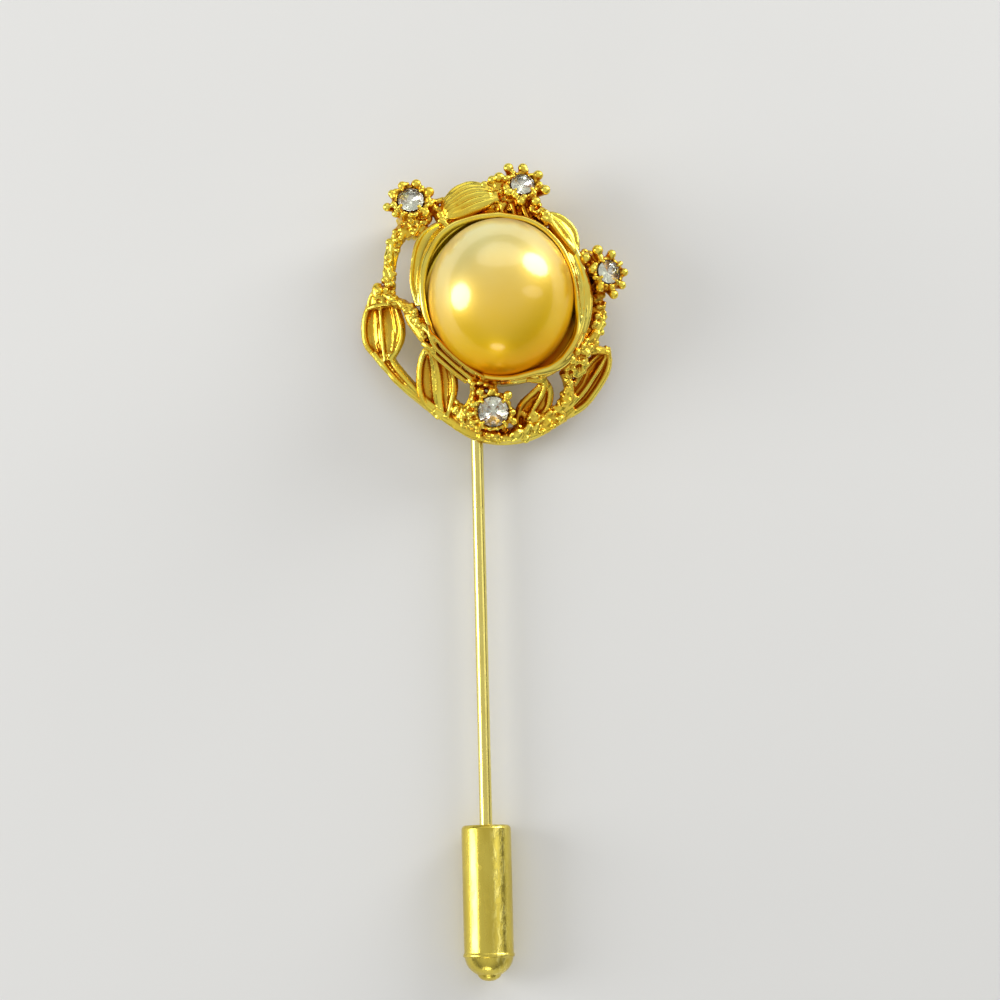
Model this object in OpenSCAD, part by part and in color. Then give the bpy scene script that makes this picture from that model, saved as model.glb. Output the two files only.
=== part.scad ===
// Lapel stick pin: a round pearl in an openwork wreath of leaves, vines and four flowers,
// on a straight wire stem whose point is covered by a slide-off bullet clutch.
// Millimetres. The pin lies on its back: +Z is up, the stem runs along Y with the head at +Y,
// and the origin is on the surface, under the middle of the whole pin.

/* [Whole pin] */
// Length from the clutch's nose to the head's top petal
overall_l = 65.0; // [64:0.1:67]
// Gap left between separate pieces
gap = 0.04; // [0.03:0.01:0.06]

/* [Pearl] */
// Diameter of the pearl at its widest
pearl_d = 11.8; // [11.6:0.1:12.0]
// Straight side of the pearl below its dome
pearl_side_h = 1.9; // [1.6:0.1:2.1]
// Sideways distance from the stem to the pearl's axis
pearl_off_x = 2.2; // [1.8:0.1:2.6]

/* [Pearl cup] */
// Underside of the cup's floor above the surface
cup_floor_z = 2.3; // [2.2:0.05:2.4]
// Thickness of the cup's floor
cup_floor_t = 0.6; // [0.5:0.1:0.8]
// Thickness of the cup's wall
cup_wall_t = 0.6; // [0.5:0.1:0.8]
// Top of the cup's wall above the surface
cup_top_z = 5.0; // [4.8:0.1:5.2]

/* [Stem] */
// Diameter of the stem wire
stem_d = 1.0; // [0.9:0.05:1.0]
// Diameter that the wire is ground down to where its point begins
ground_d = 0.92; // [0.86:0.02:0.94]
// Length of the needle taper at the point
taper_l = 3.0; // [2:0.5:4]
// Diameter of the point's end
point_d = 0.24; // [0.2:0.02:0.4]
// Length of the solder sleeve under the cup
solder_l = 6.0; // [4:0.5:7]
// Length of the solder sleeve under the lowest rim
rim_solder_l = 1.6; // [1.2:0.1:2]
// Distance from the pearl's axis down to that sleeve's end
rim_solder_reach = 11.45; // [11.3:0.05:11.5]
// Diameter of the solder sleeves
solder_d = 1.5; // [1.4:0.1:1.8]

/* [Clutch] */
// Diameter of the clutch
clutch_d = 4.0; // [3.8:0.1:4.2]
// Length of the clutch
clutch_l = 12.2; // [12:0.1:12.6]
// Length of the rounded nose
nose_l = 1.9; // [1.7:0.1:2.2]
// Diameter of the nose's flat end
nose_flat_d = 1.1; // [0.9:0.1:1.3]
// Radius of the rounded shoulder at the mouth
shoulder_r = 0.5; // [0.3:0.1:0.6]
// Clearance on radius between the stem and the clutch's bore
bore_play = 0.06; // [0.05:0.01:0.08]
// Depth of the blind bore
bore_depth = 10.1; // [9.5:0.1:10.2]

/* [Leaves] */
// Thickness of a leaf's hollow middle
leaf_t = 0.5; // [0.4:0.05:0.6]
// Height of a leaf's raised rim
leaf_rim_h = 0.8; // [0.7:0.05:0.9]
// Width of a leaf's raised rim
leaf_rim_w = 0.35; // [0.3:0.05:0.4]
// Radius of a leaf's midrib
midrib_r = 0.24; // [0.2:0.02:0.28]

/* [Flowers] */
// Radius of the ring of petal tips
petal_ring_r = 1.7; // [1.65:0.05:1.8]
// Radius of a petal's ball tip
petal_ball_r = 0.36; // [0.32:0.01:0.38]
// Radius of a petal's arm
petal_arm_r = 0.24; // [0.2:0.02:0.28]
// Petals on a flower
petal_count = 8; // [6:1:8]
// Radius of a claw beside a stone
claw_r = 0.17; // [0.15:0.01:0.18]
// Radius of a flower's foot
foot_r = 1.0; // [0.9:0.05:1.1]

/* [Hidden] */
$fn = 48;

gold = [0.86, 0.66, 0.14];
pale_gold = [0.80, 0.74, 0.42];
pearl_cream = [0.91, 0.78, 0.42];
crystal_clear = [0.86, 0.89, 0.88];

// Places along and across the pin
stem_r = stem_d / 2;
clutch_r = clutch_d / 2;
stem_z = clutch_r;
head_reach = 10.65;
pearl_x = 0.6;
pearl_y = overall_l / 2 - head_reach;
stem_x = pearl_x - pearl_off_x;
mouth_y = clutch_l - overall_l / 2;
point_inset = bore_depth - 0.1;
point_y = mouth_y - point_inset;
stem_end_y = pearl_y + 2.5;

// Heights of the pearl and radii of its cup
pearl_r = pearl_d / 2;
pearl_foot_z = cup_floor_z + cup_floor_t + gap;
cup_r = pearl_r + 0.15;
cup_outer_r = cup_r + cup_wall_t;

// One leaf a row: place round the pearl, height and slope, turn in its own plane, size
LEAF_R = 0;
LEAF_ANGLE = 1;
LEAF_Z = 2;
LEAF_SLOPE = 3;
LEAF_TURN = 4;
LEAF_L = 5;
LEAF_W = 6;
leaves = [
    [9.9, 189, 2.0, 27, 84, 6.3, 3.6],
    [8.8, 232, 2.8, 24, 54, 6.0, 3.4],
    [9.1, 285, 2.9, 18, -43, 5.0, 2.3],
    [8.1, 108, 3.8, 26, -89, 5.2, 3.0],
    [7.4, 45, 4.1, 20, -99, 4.4, 2.2],
    [9.8, 318, 2.0, 26, -75, 6.3, 2.5]
];

// One ribbon a row: its upper inner edge, its lower outer edge, thickness, first and last angle
RIBBON_R_IN = 0;
RIBBON_Z_IN = 1;
RIBBON_R_OUT = 2;
RIBBON_Z_OUT = 3;
RIBBON_T = 4;
RIBBON_FROM = 5;
RIBBON_TO = 6;
ribbons = [
    [6.5, 5.15, 7.5, 4.35, 0.6, 131, 203],
    [6.5, 5.05, 8.1, 3.90, 0.6, 51, 133],
    [6.5, 5.15, 7.4, 4.45, 0.6, -24, 53],
    [6.5, 5.20, 7.4, 4.75, 0.6, 236, 319],
    [9.6, 3.05, 11.2, 2.85, 0.6, 239, 303]
];

// One round vine a row: radius and height of its arc round the pearl, thickness, first and last angle
VINE_R = 0;
VINE_Z = 1;
VINE_T = 2;
VINE_FROM = 3;
VINE_TO = 4;
vines = [
    [9.2, 3.1, 1.00, 134, 184],
    [8.2, 3.0, 0.90, 320, 368],
    [6.55, 5.2, 0.70, 203, 256],
    [10.6, 2.1, 0.90, 200, 243],
    [11.1, 2.75, 1.00, 237, 305]
];

// One link a row: a short bar that runs outwards from the cup's wall to a leaf or a flower
LINK_ANGLE = 0;
LINK_FROM = 1;
LINK_Z_FROM = 2;
LINK_TO = 3;
LINK_Z_TO = 4;
LINK_T = 5;
links = [
    [133, 6.5, 4.2, 9.0, 3.2, 1.2],
    [184, 6.5, 4.2, 9.4, 2.7, 1.0],
    [222, 6.5, 4.4, 8.0, 3.5, 1.0],
    [263, 6.5, 4.0, 8.6, 3.3, 1.2],
    [293, 6.5, 4.2, 8.0, 3.6, 1.0],
    [322, 6.5, 4.0, 9.2, 2.8, 1.1],
    [9, 6.5, 4.0, 8.2, 3.2, 1.2],
    [77, 6.5, 4.0, 8.2, 3.4, 1.4],
    [100, 6.5, 4.2, 8.0, 3.8, 1.0],
    [60, 6.5, 4.2, 7.6, 3.9, 1.0]
];

// One flower a row: place round the pearl, height of its stone, lean outwards, its foot, stone radius
FLOWER_R = 0;
FLOWER_ANGLE = 1;
FLOWER_Z = 2;
FLOWER_LEAN = 3;
FLOWER_FOOT_Z = 4;
FLOWER_STONE_R = 5;
flower_left = [10.25, 132.5, 5.2, 22, 0, 1.00];
flower_top = [9.0, 77.5, 5.2, 22, 0, 0.90];
flower_right = [8.95, 9.5, 5.2, 22, 0, 0.90];
flower_bottom = [9.55, 265, 5.0, 15, 2.35, 1.15];

// Proportions of a stone, in parts of its radius
girdle_part = 0.10;
crown_part = 0.34;
table_part = 0.58;
pavilion_part = 0.80;

// Distance along a leaning flower's axis from its stone down to its foot
function flower_h(f) =
    (f[FLOWER_Z] - f[FLOWER_FOOT_Z] - foot_r * sin(f[FLOWER_LEAN])) / cos(f[FLOWER_LEAN]);

// Straight round bar between two points
module bar(from, to, r) {
    along = to - from;
    len = norm(along);
    translate(from)
        rotate([0, acos(along[2] / len), atan2(along[1], along[0])])
            cylinder(h = len, r = r);
}

// Moves its children from the pearl's axis out to a place round it
module around(r, angle, z) {
    rotate([0, 0, angle])
        translate([r, 0, z])
            children();
}

// Pointed oval: where two equal circles cross
module pointed_oval(l, w) {
    arc_r = (l * l + w * w) / (4 * w);
    intersection() {
        translate([0, arc_r - w / 2])
            circle(r = arc_r, $fn = 96);
        translate([0, w / 2 - arc_r])
            circle(r = arc_r, $fn = 96);
    }
}

// Leaf lying flat, its long way along X: a hollow plate with a raised rim and a midrib
module leaf_shape(l, w) {
    difference() {
        linear_extrude(leaf_rim_h)
            pointed_oval(l, w);
        translate([0, 0, leaf_t])
            linear_extrude(leaf_rim_h)
                pointed_oval(l - 3 * leaf_rim_w, w - 2 * leaf_rim_w);
    }
    translate([-l / 2 + leaf_rim_w, 0, leaf_t])
        rotate([0, 90, 0])
            cylinder(h = l - 2 * leaf_rim_w, r = midrib_r);
}

module leaf(row) {
    around(row[LEAF_R], row[LEAF_ANGLE], row[LEAF_Z])
        rotate([0, row[LEAF_SLOPE], 0])
            rotate([0, 0, row[LEAF_TURN]])
                leaf_shape(row[LEAF_L], row[LEAF_W]);
}

module vine(row) {
    rotate([0, 0, row[VINE_FROM]])
        translate([0, 0, row[VINE_Z]])
            rotate_extrude(angle = row[VINE_TO] - row[VINE_FROM], $fn = 96)
                translate([row[VINE_R], 0])
                    circle(r = row[VINE_T] / 2, $fn = 24);
}

module link(row) {
    rotate([0, 0, row[LINK_ANGLE]])
        bar([row[LINK_FROM], 0, row[LINK_Z_FROM]], [row[LINK_TO], 0, row[LINK_Z_TO]],
            row[LINK_T] / 2);
}

// Flat ribbon that slopes outwards and down as it runs round the pearl
module ribbon(row) {
    rotate([0, 0, row[RIBBON_FROM]])
        rotate_extrude(angle = row[RIBBON_TO] - row[RIBBON_FROM], $fn = 96)
            polygon([
                [row[RIBBON_R_IN], row[RIBBON_Z_IN]],
                [row[RIBBON_R_OUT], row[RIBBON_Z_OUT]],
                [row[RIBBON_R_OUT], row[RIBBON_Z_OUT] - row[RIBBON_T]],
                [row[RIBBON_R_IN], row[RIBBON_Z_IN] - row[RIBBON_T]]
            ]);
}

// Stands its children at a flower's place, with the stone's girdle at their origin
module at_flower(f) {
    around(f[FLOWER_R], f[FLOWER_ANGLE], f[FLOWER_Z])
        rotate([0, f[FLOWER_LEAN], 0])
            children();
}

// Flower: a tapering basket with ball-tipped petals and four claws round the stone's seat
module flower(f) {
    stone_r = f[FLOWER_STONE_R];
    h = flower_h(f);
    rim_r = stone_r + 0.35;
    claw_ring_r = stone_r + gap + claw_r + 0.03;
    claw_top = stone_r * (girdle_part + crown_part);
    at_flower(f)
        difference() {
            union() {
                translate([0, 0, -h])
                    cylinder(h = h, r1 = foot_r, r2 = rim_r);
                for (i = [0 : petal_count - 1]) {
                    rotate([0, 0, i * 360 / petal_count]) {
                        bar([0.7, 0, -1.7], [petal_ring_r, 0, -0.1], petal_arm_r);
                        translate([petal_ring_r, 0, -0.1])
                            sphere(r = petal_ball_r, $fn = 24);
                    }
                }
                for (i = [0 : 3]) {
                    rotate([0, 0, 22.5 + i * 90])
                        translate([claw_ring_r, 0, -0.6])
                            cylinder(h = claw_top + 0.6, r = claw_r, $fn = 24);
                }
            }
            rotate_extrude()
                polygon([
                    [0, -pavilion_part * stone_r - 2 * gap],
                    [stone_r + gap, -gap],
                    [stone_r + gap, stone_r],
                    [0, stone_r]
                ]);
        }
}

module pearl_cup() {
    difference() {
        translate([0, 0, cup_floor_z])
            cylinder(h = cup_top_z - cup_floor_z, r = cup_outer_r, $fn = 96);
        translate([0, 0, cup_floor_z + cup_floor_t])
            cylinder(h = cup_top_z, r = cup_r, $fn = 96);
    }
}

// Stem wire: a full round as far as the clutch's mouth, ground thinner inside it down to the needle
// point, with the two solder sleeves that hold it under the cup and under the lowest rim
module stem() {
    round_l = stem_end_y - mouth_y;
    ground_l = point_inset - taper_l;
    rim_solder_end = stem_end_y - pearl_y + rim_solder_reach;
    translate([stem_x, stem_end_y, stem_z])
        rotate([90, 0, 0]) {
            cylinder(h = round_l, r = stem_r);
            translate([0, 0, round_l])
                cylinder(h = ground_l, r1 = stem_r, r2 = ground_d / 2);
            translate([0, 0, round_l + ground_l])
                cylinder(h = taper_l, r1 = ground_d / 2, r2 = point_d / 2);
            translate([0, 0, 0.6])
                cylinder(h = solder_l, r = solder_d / 2);
            translate([0, 0, rim_solder_end - rim_solder_l])
                cylinder(h = rim_solder_l, r = solder_d / 2);
        }
}

// The cast wreath and the soldered stem are one piece of metal
module head_frame() {
    color(gold)
        union() {
            translate([pearl_x, pearl_y, 0]) {
                pearl_cup();
                for (row = leaves)
                    leaf(row);
                for (row = ribbons)
                    ribbon(row);
                for (row = vines)
                    vine(row);
                for (row = links)
                    link(row);
                for (f = [flower_left, flower_top, flower_right, flower_bottom])
                    flower(f);
            }
            stem();
        }
}

// Pearl: a flat foot, a short straight side and a round dome
module pearl() {
    dome_z = pearl_foot_z + pearl_side_h;
    color(pearl_cream)
        translate([pearl_x, pearl_y, 0]) {
            translate([0, 0, pearl_foot_z])
                cylinder(h = pearl_side_h, r = pearl_r, $fn = 96);
            intersection() {
                translate([0, 0, dome_z])
                    sphere(r = pearl_r, $fn = 96);
                translate([0, 0, dome_z])
                    cylinder(h = 2 * pearl_r, r = 2 * pearl_r);
            }
        }
}

// Round-cut stone: a pointed pavilion, a thin girdle and a crown with a flat table
module crystal(f) {
    r = f[FLOWER_STONE_R];
    color(crystal_clear)
        translate([pearl_x, pearl_y, 0])
            at_flower(f)
                rotate_extrude()
                    polygon([
                        [0, -pavilion_part * r],
                        [r, 0],
                        [r, girdle_part * r],
                        [table_part * r, (girdle_part + crown_part) * r],
                        [0, (girdle_part + crown_part) * r]
                    ]);
}

// Half of the clutch's outline, from the mouth down to the nose, for turning round its axis
function shoulder_points(steps) =
    [for (i = [0 : steps]) let (a = 90 * i / steps)
        [clutch_r - shoulder_r + shoulder_r * sin(a), -shoulder_r + shoulder_r * cos(a)]];

function nose_points(steps) =
    [for (i = [0 : steps]) let (a = 90 * i / steps)
        [nose_flat_d / 2 + (clutch_r - nose_flat_d / 2) * cos(a), nose_l - clutch_l - nose_l * sin(a)]];

// Bullet clutch with a blind bore that the stem's point slides into
module clutch() {
    color(pale_gold)
        translate([stem_x, mouth_y, stem_z])
            rotate([-90, 0, 0])
                difference() {
                    rotate_extrude()
                        polygon(concat([[0, 0]], shoulder_points(4), nose_points(6),
                                       [[0, -clutch_l]]));
                    translate([0, 0, -bore_depth])
                        cylinder(h = bore_depth + 1, r = stem_r + bore_play);
                }
}

head_frame();
pearl();
crystal(flower_left);  // crystal_left
crystal(flower_top);  // crystal_top
crystal(flower_right);  // crystal_right
crystal(flower_bottom);  // crystal_bottom
clutch();
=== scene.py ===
"""Lapel stick pin lying on its back: a golden pearl in a cast wreath of leaves, vines and stone flowers.

Sizes are in millimetres where nothing else is said. The wreath is drawn round the pearl's axis: a
turn in degrees, counted from the right-hand side, a reach away from the axis, and a height above
the table. Each piece is modelled at its place, and its last step brings it to metres.
"""

import logging
import math
import random
from dataclasses import dataclass, field
from enum import Enum
from typing import Callable, Sequence, Union

import bmesh
import bpy
from mathutils import Matrix, Vector

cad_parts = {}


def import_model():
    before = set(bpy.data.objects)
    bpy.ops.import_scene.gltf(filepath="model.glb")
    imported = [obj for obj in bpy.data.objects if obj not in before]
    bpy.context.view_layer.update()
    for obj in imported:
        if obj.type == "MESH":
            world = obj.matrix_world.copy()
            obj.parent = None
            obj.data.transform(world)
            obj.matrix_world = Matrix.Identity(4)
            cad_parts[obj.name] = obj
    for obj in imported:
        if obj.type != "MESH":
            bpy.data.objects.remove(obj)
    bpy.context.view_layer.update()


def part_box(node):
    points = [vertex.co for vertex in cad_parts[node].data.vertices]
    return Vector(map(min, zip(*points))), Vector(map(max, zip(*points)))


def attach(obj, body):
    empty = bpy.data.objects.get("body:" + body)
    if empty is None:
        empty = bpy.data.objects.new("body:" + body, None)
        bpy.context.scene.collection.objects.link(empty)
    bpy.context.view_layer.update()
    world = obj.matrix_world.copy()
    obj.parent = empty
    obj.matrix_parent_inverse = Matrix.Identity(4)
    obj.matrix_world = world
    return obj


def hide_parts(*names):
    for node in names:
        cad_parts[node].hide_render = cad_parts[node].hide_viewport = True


log = logging.getLogger("lapel_pin")

MM = 0.001

# The turn between one grain and the next, in degrees, that never lets them fall into rows.
GOLDEN_TURN = 137.5

# Points nearer to each other than this are one point.
SAME_SPOT = 0.0005

# How far the oval pearl's axis lies below the round CAD pearl's.
OVAL_DROP = 0.1

Pair = tuple[float, float]
Point = tuple[float, float, float]
Station = tuple[float, float, float, float]
Colour = tuple[float, float, float]
Object = bpy.types.Object
Material = bpy.types.Material
FaceTest = Callable[[Vector, Vector], bool]
Sockets = dict[Union[str, int], object]


class Metal(Enum):
    """The golden finishes of the pin."""

    CAST = "cast_gold"
    SMOOTH = "smooth_gold"
    WIRE = "wire_gold"
    CLUTCH = "clutch_gold"


class Bench:
    """The bench moves that every maker uses, each one a few plain operators."""

    @staticmethod
    def clear() -> None:
        """Leave edit mode and let go of every object."""
        if bpy.context.object and bpy.context.object.mode != "OBJECT":
            bpy.ops.object.mode_set(mode="OBJECT")
        bpy.ops.object.select_all(action="DESELECT")

    @staticmethod
    def take(piece: Object) -> Object:
        """Select one object alone and make it the active one.

        Args:
            piece: The object to work on next.

        Returns:
            The same object.
        """
        Bench.clear()
        piece.select_set(True)
        bpy.context.view_layer.objects.active = piece
        return piece

    @staticmethod
    def edit(all_over: bool = False) -> None:
        """Enter edit mode on the active object.

        Args:
            all_over: Whether everything is selected at first, or else nothing.
        """
        bpy.ops.object.mode_set(mode="EDIT")
        bpy.ops.mesh.select_mode(type="FACE" if not all_over else "VERT")
        bpy.ops.mesh.select_all(action="SELECT" if all_over else "DESELECT")

    @staticmethod
    def done() -> Object:
        """Leave edit mode and hand the active object back."""
        bpy.ops.object.mode_set(mode="OBJECT")
        return bpy.context.object

    @staticmethod
    def pick_faces(test: FaceTest) -> None:
        """Select, in edit mode, the faces that pass a test, and no others.

        Args:
            test: Takes a face's centre and its normal, and says whether it is wanted.
        """
        mesh = bmesh.from_edit_mesh(bpy.context.object.data)
        for face in mesh.faces:
            face.select_set(test(face.calc_center_median(), face.normal))
        bmesh.update_edit_mesh(bpy.context.object.data)

    @staticmethod
    def modify(piece: Object, kind: str, **settings: object) -> None:
        """Add a modifier, set it and apply it.

        Args:
            piece: The object that takes the modifier.
            kind: The modifier's type.
            settings: The modifier's own settings by name.
        """
        Bench.take(piece)
        bpy.ops.object.modifier_add(type=kind)
        added = piece.modifiers[-1]
        for name, value in settings.items():
            setattr(added, name, value)
        bpy.ops.object.modifier_apply(modifier=added.name)

    @staticmethod
    def place(piece: Object, matrix: Matrix) -> Object:
        """Move an object by a matrix and fold the move into its mesh.

        Args:
            piece: The object to move.
            matrix: Where it goes.

        Returns:
            The same object, unturned and at the origin.
        """
        Bench.take(piece)
        piece.matrix_world = matrix @ piece.matrix_world
        bpy.ops.object.transform_apply(location=True, rotation=True, scale=True)
        return piece

    @staticmethod
    def copy(piece: Object, matrix: Matrix) -> Object:
        """Copy an object with its own mesh and place the copy.

        Args:
            piece: The object to repeat.
            matrix: Where the copy goes, seen from the first one.

        Returns:
            The placed copy.
        """
        twin = piece.copy()
        twin.data = piece.data.copy()
        bpy.context.scene.collection.objects.link(twin)
        return Bench.place(twin, matrix)

    @staticmethod
    def discard(piece: Object) -> None:
        """Delete an object that only served as a pattern."""
        bpy.data.objects.remove(piece, do_unlink=True)

    @staticmethod
    def join(pieces: Sequence[Object], name: str) -> Object:
        """Join objects into one mesh.

        Args:
            pieces: The objects, at least one.
            name: The joined object's name.

        Returns:
            The joined object.
        """
        Bench.take(pieces[0])
        for piece in pieces:
            piece.select_set(True)
        if len(pieces) > 1:
            bpy.ops.object.join()
        joined = bpy.context.object
        joined.name = name
        return joined

    @staticmethod
    def fuse(piece: Object, grain: float, rounds: int, strength: float = 0.5) -> None:
        """Melt overlapping shells into one skin with soft inner corners, as a casting has.

        Args:
            piece: The object of overlapping closed shells.
            grain: Distance between the new skin's points.
            rounds: How often the skin is smoothed.
            strength: How far each smoothing moves a point, from 0 to 1.
        """
        Bench.modify(piece, "REMESH", mode="VOXEL", voxel_size=grain, use_smooth_shade=True)
        Bench.modify(piece, "SMOOTH", factor=strength, iterations=rounds)

    @staticmethod
    def raise_faces(height: float) -> None:
        """Extrude the selected faces straight up, or down by a negative height."""
        move = (0.0, 0.0, height)
        bpy.ops.mesh.extrude_region_move(TRANSFORM_OT_translate={"value": move})

    @staticmethod
    def outward(piece: Object) -> None:
        """Merge doubled points and turn every face outwards.

        Args:
            piece: The closed piece.
        """
        Bench.take(piece)
        Bench.edit(all_over=True)
        bpy.ops.mesh.remove_doubles(threshold=SAME_SPOT)
        bpy.ops.mesh.normals_make_consistent(inside=False)
        Bench.done()

    @staticmethod
    def smooth(piece: Object, angle: float) -> None:
        """Shade a piece smooth, up to an angle between faces in degrees."""
        Bench.take(piece)
        bpy.ops.object.shade_smooth_by_angle(angle=math.radians(angle))


@dataclass
class Shop:
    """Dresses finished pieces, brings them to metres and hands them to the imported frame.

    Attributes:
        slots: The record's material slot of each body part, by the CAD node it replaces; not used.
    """

    slots: dict[str, str] = field(
        default_factory=lambda: {
            "head_frame": "gold_plate",
            "pearl": "pearl",
            "clutch": "pale_gold_plate",
        }
    )

    def deliver(
        self, piece: Object, name: str, body: str, node: str, materials: Sequence[Material]
    ) -> Object:
        """Finish a piece: metres, name, materials, body and the node it stands for.

        Args:
            piece: The piece in millimetres.
            name: Its plain name.
            body: The body that it rides on.
            node: The CAD node that it replaces.
            materials: Its materials in slot order.

        Returns:
            The finished piece.
        """
        Bench.place(piece, Matrix.Scale(MM, 4))
        piece.name = name
        piece.data.name = name
        if len(materials) == 1:
            piece.data.materials.clear()
        for index, material in enumerate(materials):
            if index < len(piece.data.materials):
                piece.data.materials[index] = material
            else:
                piece.data.materials.append(material)
        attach(piece, body)
        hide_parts(node)
        piece.data.calc_loop_triangles()
        log.info("%s: %d triangles on %s", name, len(piece.data.loop_triangles), body)
        return piece


@dataclass(frozen=True)
class Layout:
    """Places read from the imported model, in millimetres.

    Attributes:
        axis_x: The pearl's axis across the pin.
        axis_y: The pearl's axis along the pin, a little lower than the round CAD pearl's, because
            the real pearl is a long oval.
        foot_z: Underside of the pearl.
        top_z: Top of the pearl.
        wire_x: The stem's axis across the pin.
        wire_z: The stem's axis above the table.
        mouth_y: The clutch's open end.
        nose_y: The clutch's closed end.
    """

    axis_x: float
    axis_y: float
    foot_z: float
    top_z: float
    wire_x: float
    wire_z: float
    mouth_y: float
    nose_y: float

    @staticmethod
    def read() -> "Layout":
        """Take the places from the boxes of the pearl and the clutch.

        Returns:
            The places.
        """
        pearl_low, pearl_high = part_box("pearl")
        clutch_low, clutch_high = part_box("clutch")
        return Layout(
            axis_x=(pearl_low.x + pearl_high.x) / 2 / MM,
            axis_y=(pearl_low.y + pearl_high.y) / 2 / MM - OVAL_DROP,
            foot_z=pearl_low.z / MM,
            top_z=pearl_high.z / MM,
            wire_x=(clutch_low.x + clutch_high.x) / 2 / MM,
            wire_z=(clutch_low.z + clutch_high.z) / 2 / MM,
            mouth_y=clutch_high.y / MM,
            nose_y=clutch_low.y / MM,
        )

    def head(self) -> Matrix:
        """Matrix from the pearl's axis, at the height of the table, to the pin."""
        return Matrix.Translation((self.axis_x, self.axis_y, 0.0))

    def wire(self, along: float) -> Matrix:
        """Matrix from a turned piece's own Z axis to the stem, pointing from the clutch to the head.

        Args:
            along: Place on the stem where the piece's origin goes.

        Returns:
            The matrix.
        """
        return Matrix.Translation((self.wire_x, along, self.wire_z)) @ Matrix.Rotation(
            math.radians(-90), 4, "X"
        )


def polar(turn: float, reach: float, height: float) -> Vector:
    """Point round the pearl's axis.

    Args:
        turn: Angle in degrees from the right-hand side, counted towards the top.
        reach: Distance from the axis.
        height: Height above the table.

    Returns:
        The point in millimetres.
    """
    angle = math.radians(turn)
    return Vector((reach * math.cos(angle), reach * math.sin(angle), height))


def trace(rows: Sequence[Sequence[float]], share: float) -> tuple[float, ...]:
    """Read a table of rows as a smooth line through all of them.

    Args:
        rows: At least two rows of numbers, spaced evenly in share.
        share: Place along the table, from 0 to 1.

    Returns:
        The numbers at that place.
    """
    last = len(rows) - 1
    spot = min(max(share, 0.0), 1.0) * last
    first = min(int(spot), last - 1)
    part = spot - first
    before, after = rows[max(first - 1, 0)], rows[min(first + 2, last)]
    numbers = []
    for a, b, c, d in zip(before, rows[first], rows[first + 1], after):
        bend = (2 * a - 5 * b + 4 * c - d) * part + (3 * (b - c) + d - a) * part * part
        numbers.append(b + 0.5 * part * (c - a + bend))
    return tuple(numbers)


class Skein:
    """Wax threads drawn as one curve and then made a mesh, each with its own thickness all along."""

    def __init__(self) -> None:
        """Start with no thread."""
        self.threads: list[list[tuple[Vector, float]]] = []

    def add(self, points: Sequence[Vector], radii: Sequence[float]) -> None:
        """Add one thread.

        Args:
            points: Its points in order.
            radii: Its radius at each point.
        """
        self.threads.append(list(zip(points, radii)))

    def add_round(self, stations: Sequence[Station]) -> None:
        """Add one thread given by turn, reach, height and radius."""
        self.add([polar(*row[:3]) for row in stations], [row[3] for row in stations])

    def build(self, fineness: int = 2, round_rods: bool = True) -> Object:
        """Draw all threads and make them a mesh.

        Args:
            fineness: Bevel steps round a quarter of a rod.
            round_rods: Whether the threads become closed round rods, or else bare lines.

        Returns:
            The mesh object.
        """
        Bench.clear()
        bpy.ops.curve.primitive_bezier_curve_add(enter_editmode=True)
        bpy.ops.curve.select_all(action="SELECT")
        bpy.ops.curve.delete(type="VERT")
        for thread in self.threads:
            bpy.ops.curve.select_all(action="DESELECT")
            for point, radius in thread:
                bpy.ops.curve.vertex_add(location=point)
                bpy.ops.curve.radius_set(radius=radius)
        bpy.ops.curve.select_all(action="SELECT")
        bpy.ops.curve.handle_type_set(type="AUTOMATIC")
        bpy.ops.object.mode_set(mode="OBJECT")
        drawn = bpy.context.object.data
        drawn.dimensions = "3D"
        drawn.resolution_u = 6
        drawn.bevel_depth = 1.0 if round_rods else 0.0
        drawn.bevel_resolution = fineness
        drawn.use_fill_caps = True
        bpy.ops.object.convert(target="MESH")
        return bpy.context.object


def bead_copies(rows: Sequence[tuple[Vector, float]]) -> list[Object]:
    """Model one bead, a little flattened like a drop of molten metal, and copy it to many places.

    Args:
        rows: Place and radius of each bead.

    Returns:
        The beads.
    """
    Bench.clear()
    bpy.ops.mesh.primitive_uv_sphere_add(segments=16, ring_count=8, radius=1.0)
    Bench.edit(all_over=True)
    bpy.ops.transform.resize(value=(1.0, 1.0, 0.94))
    pattern = Bench.done()
    copies = []
    for spot, radius in rows:
        copies.append(Bench.copy(pattern, Matrix.Translation(spot) @ Matrix.Scale(radius, 4)))
    Bench.discard(pattern)
    return copies


def turned(outline: Sequence[Pair], steps: int) -> Object:
    """Turn an outline once round the Z axis.

    Args:
        outline: Radius and height of each point, from one end on the axis to the other.
        steps: Faces round the axis.

    Returns:
        The turned piece, closed and facing outwards.
    """
    Bench.clear()
    bpy.ops.mesh.primitive_plane_add(size=1.0)
    Bench.edit(all_over=True)
    bpy.ops.mesh.merge(type="CENTER")
    first = outline[0]
    bpy.ops.transform.translate(value=(first[0], 0.0, first[1]))
    for start, end in zip(outline, outline[1:]):
        move = (end[0] - start[0], 0.0, end[1] - start[1])
        bpy.ops.mesh.extrude_region_move(TRANSFORM_OT_translate={"value": move})
    bpy.ops.mesh.select_all(action="SELECT")
    bpy.ops.mesh.spin(steps=steps, angle=math.tau, center=(0, 0, 0), axis=(0, 0, 1))
    piece = Bench.done()
    Bench.outward(piece)
    return piece


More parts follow.
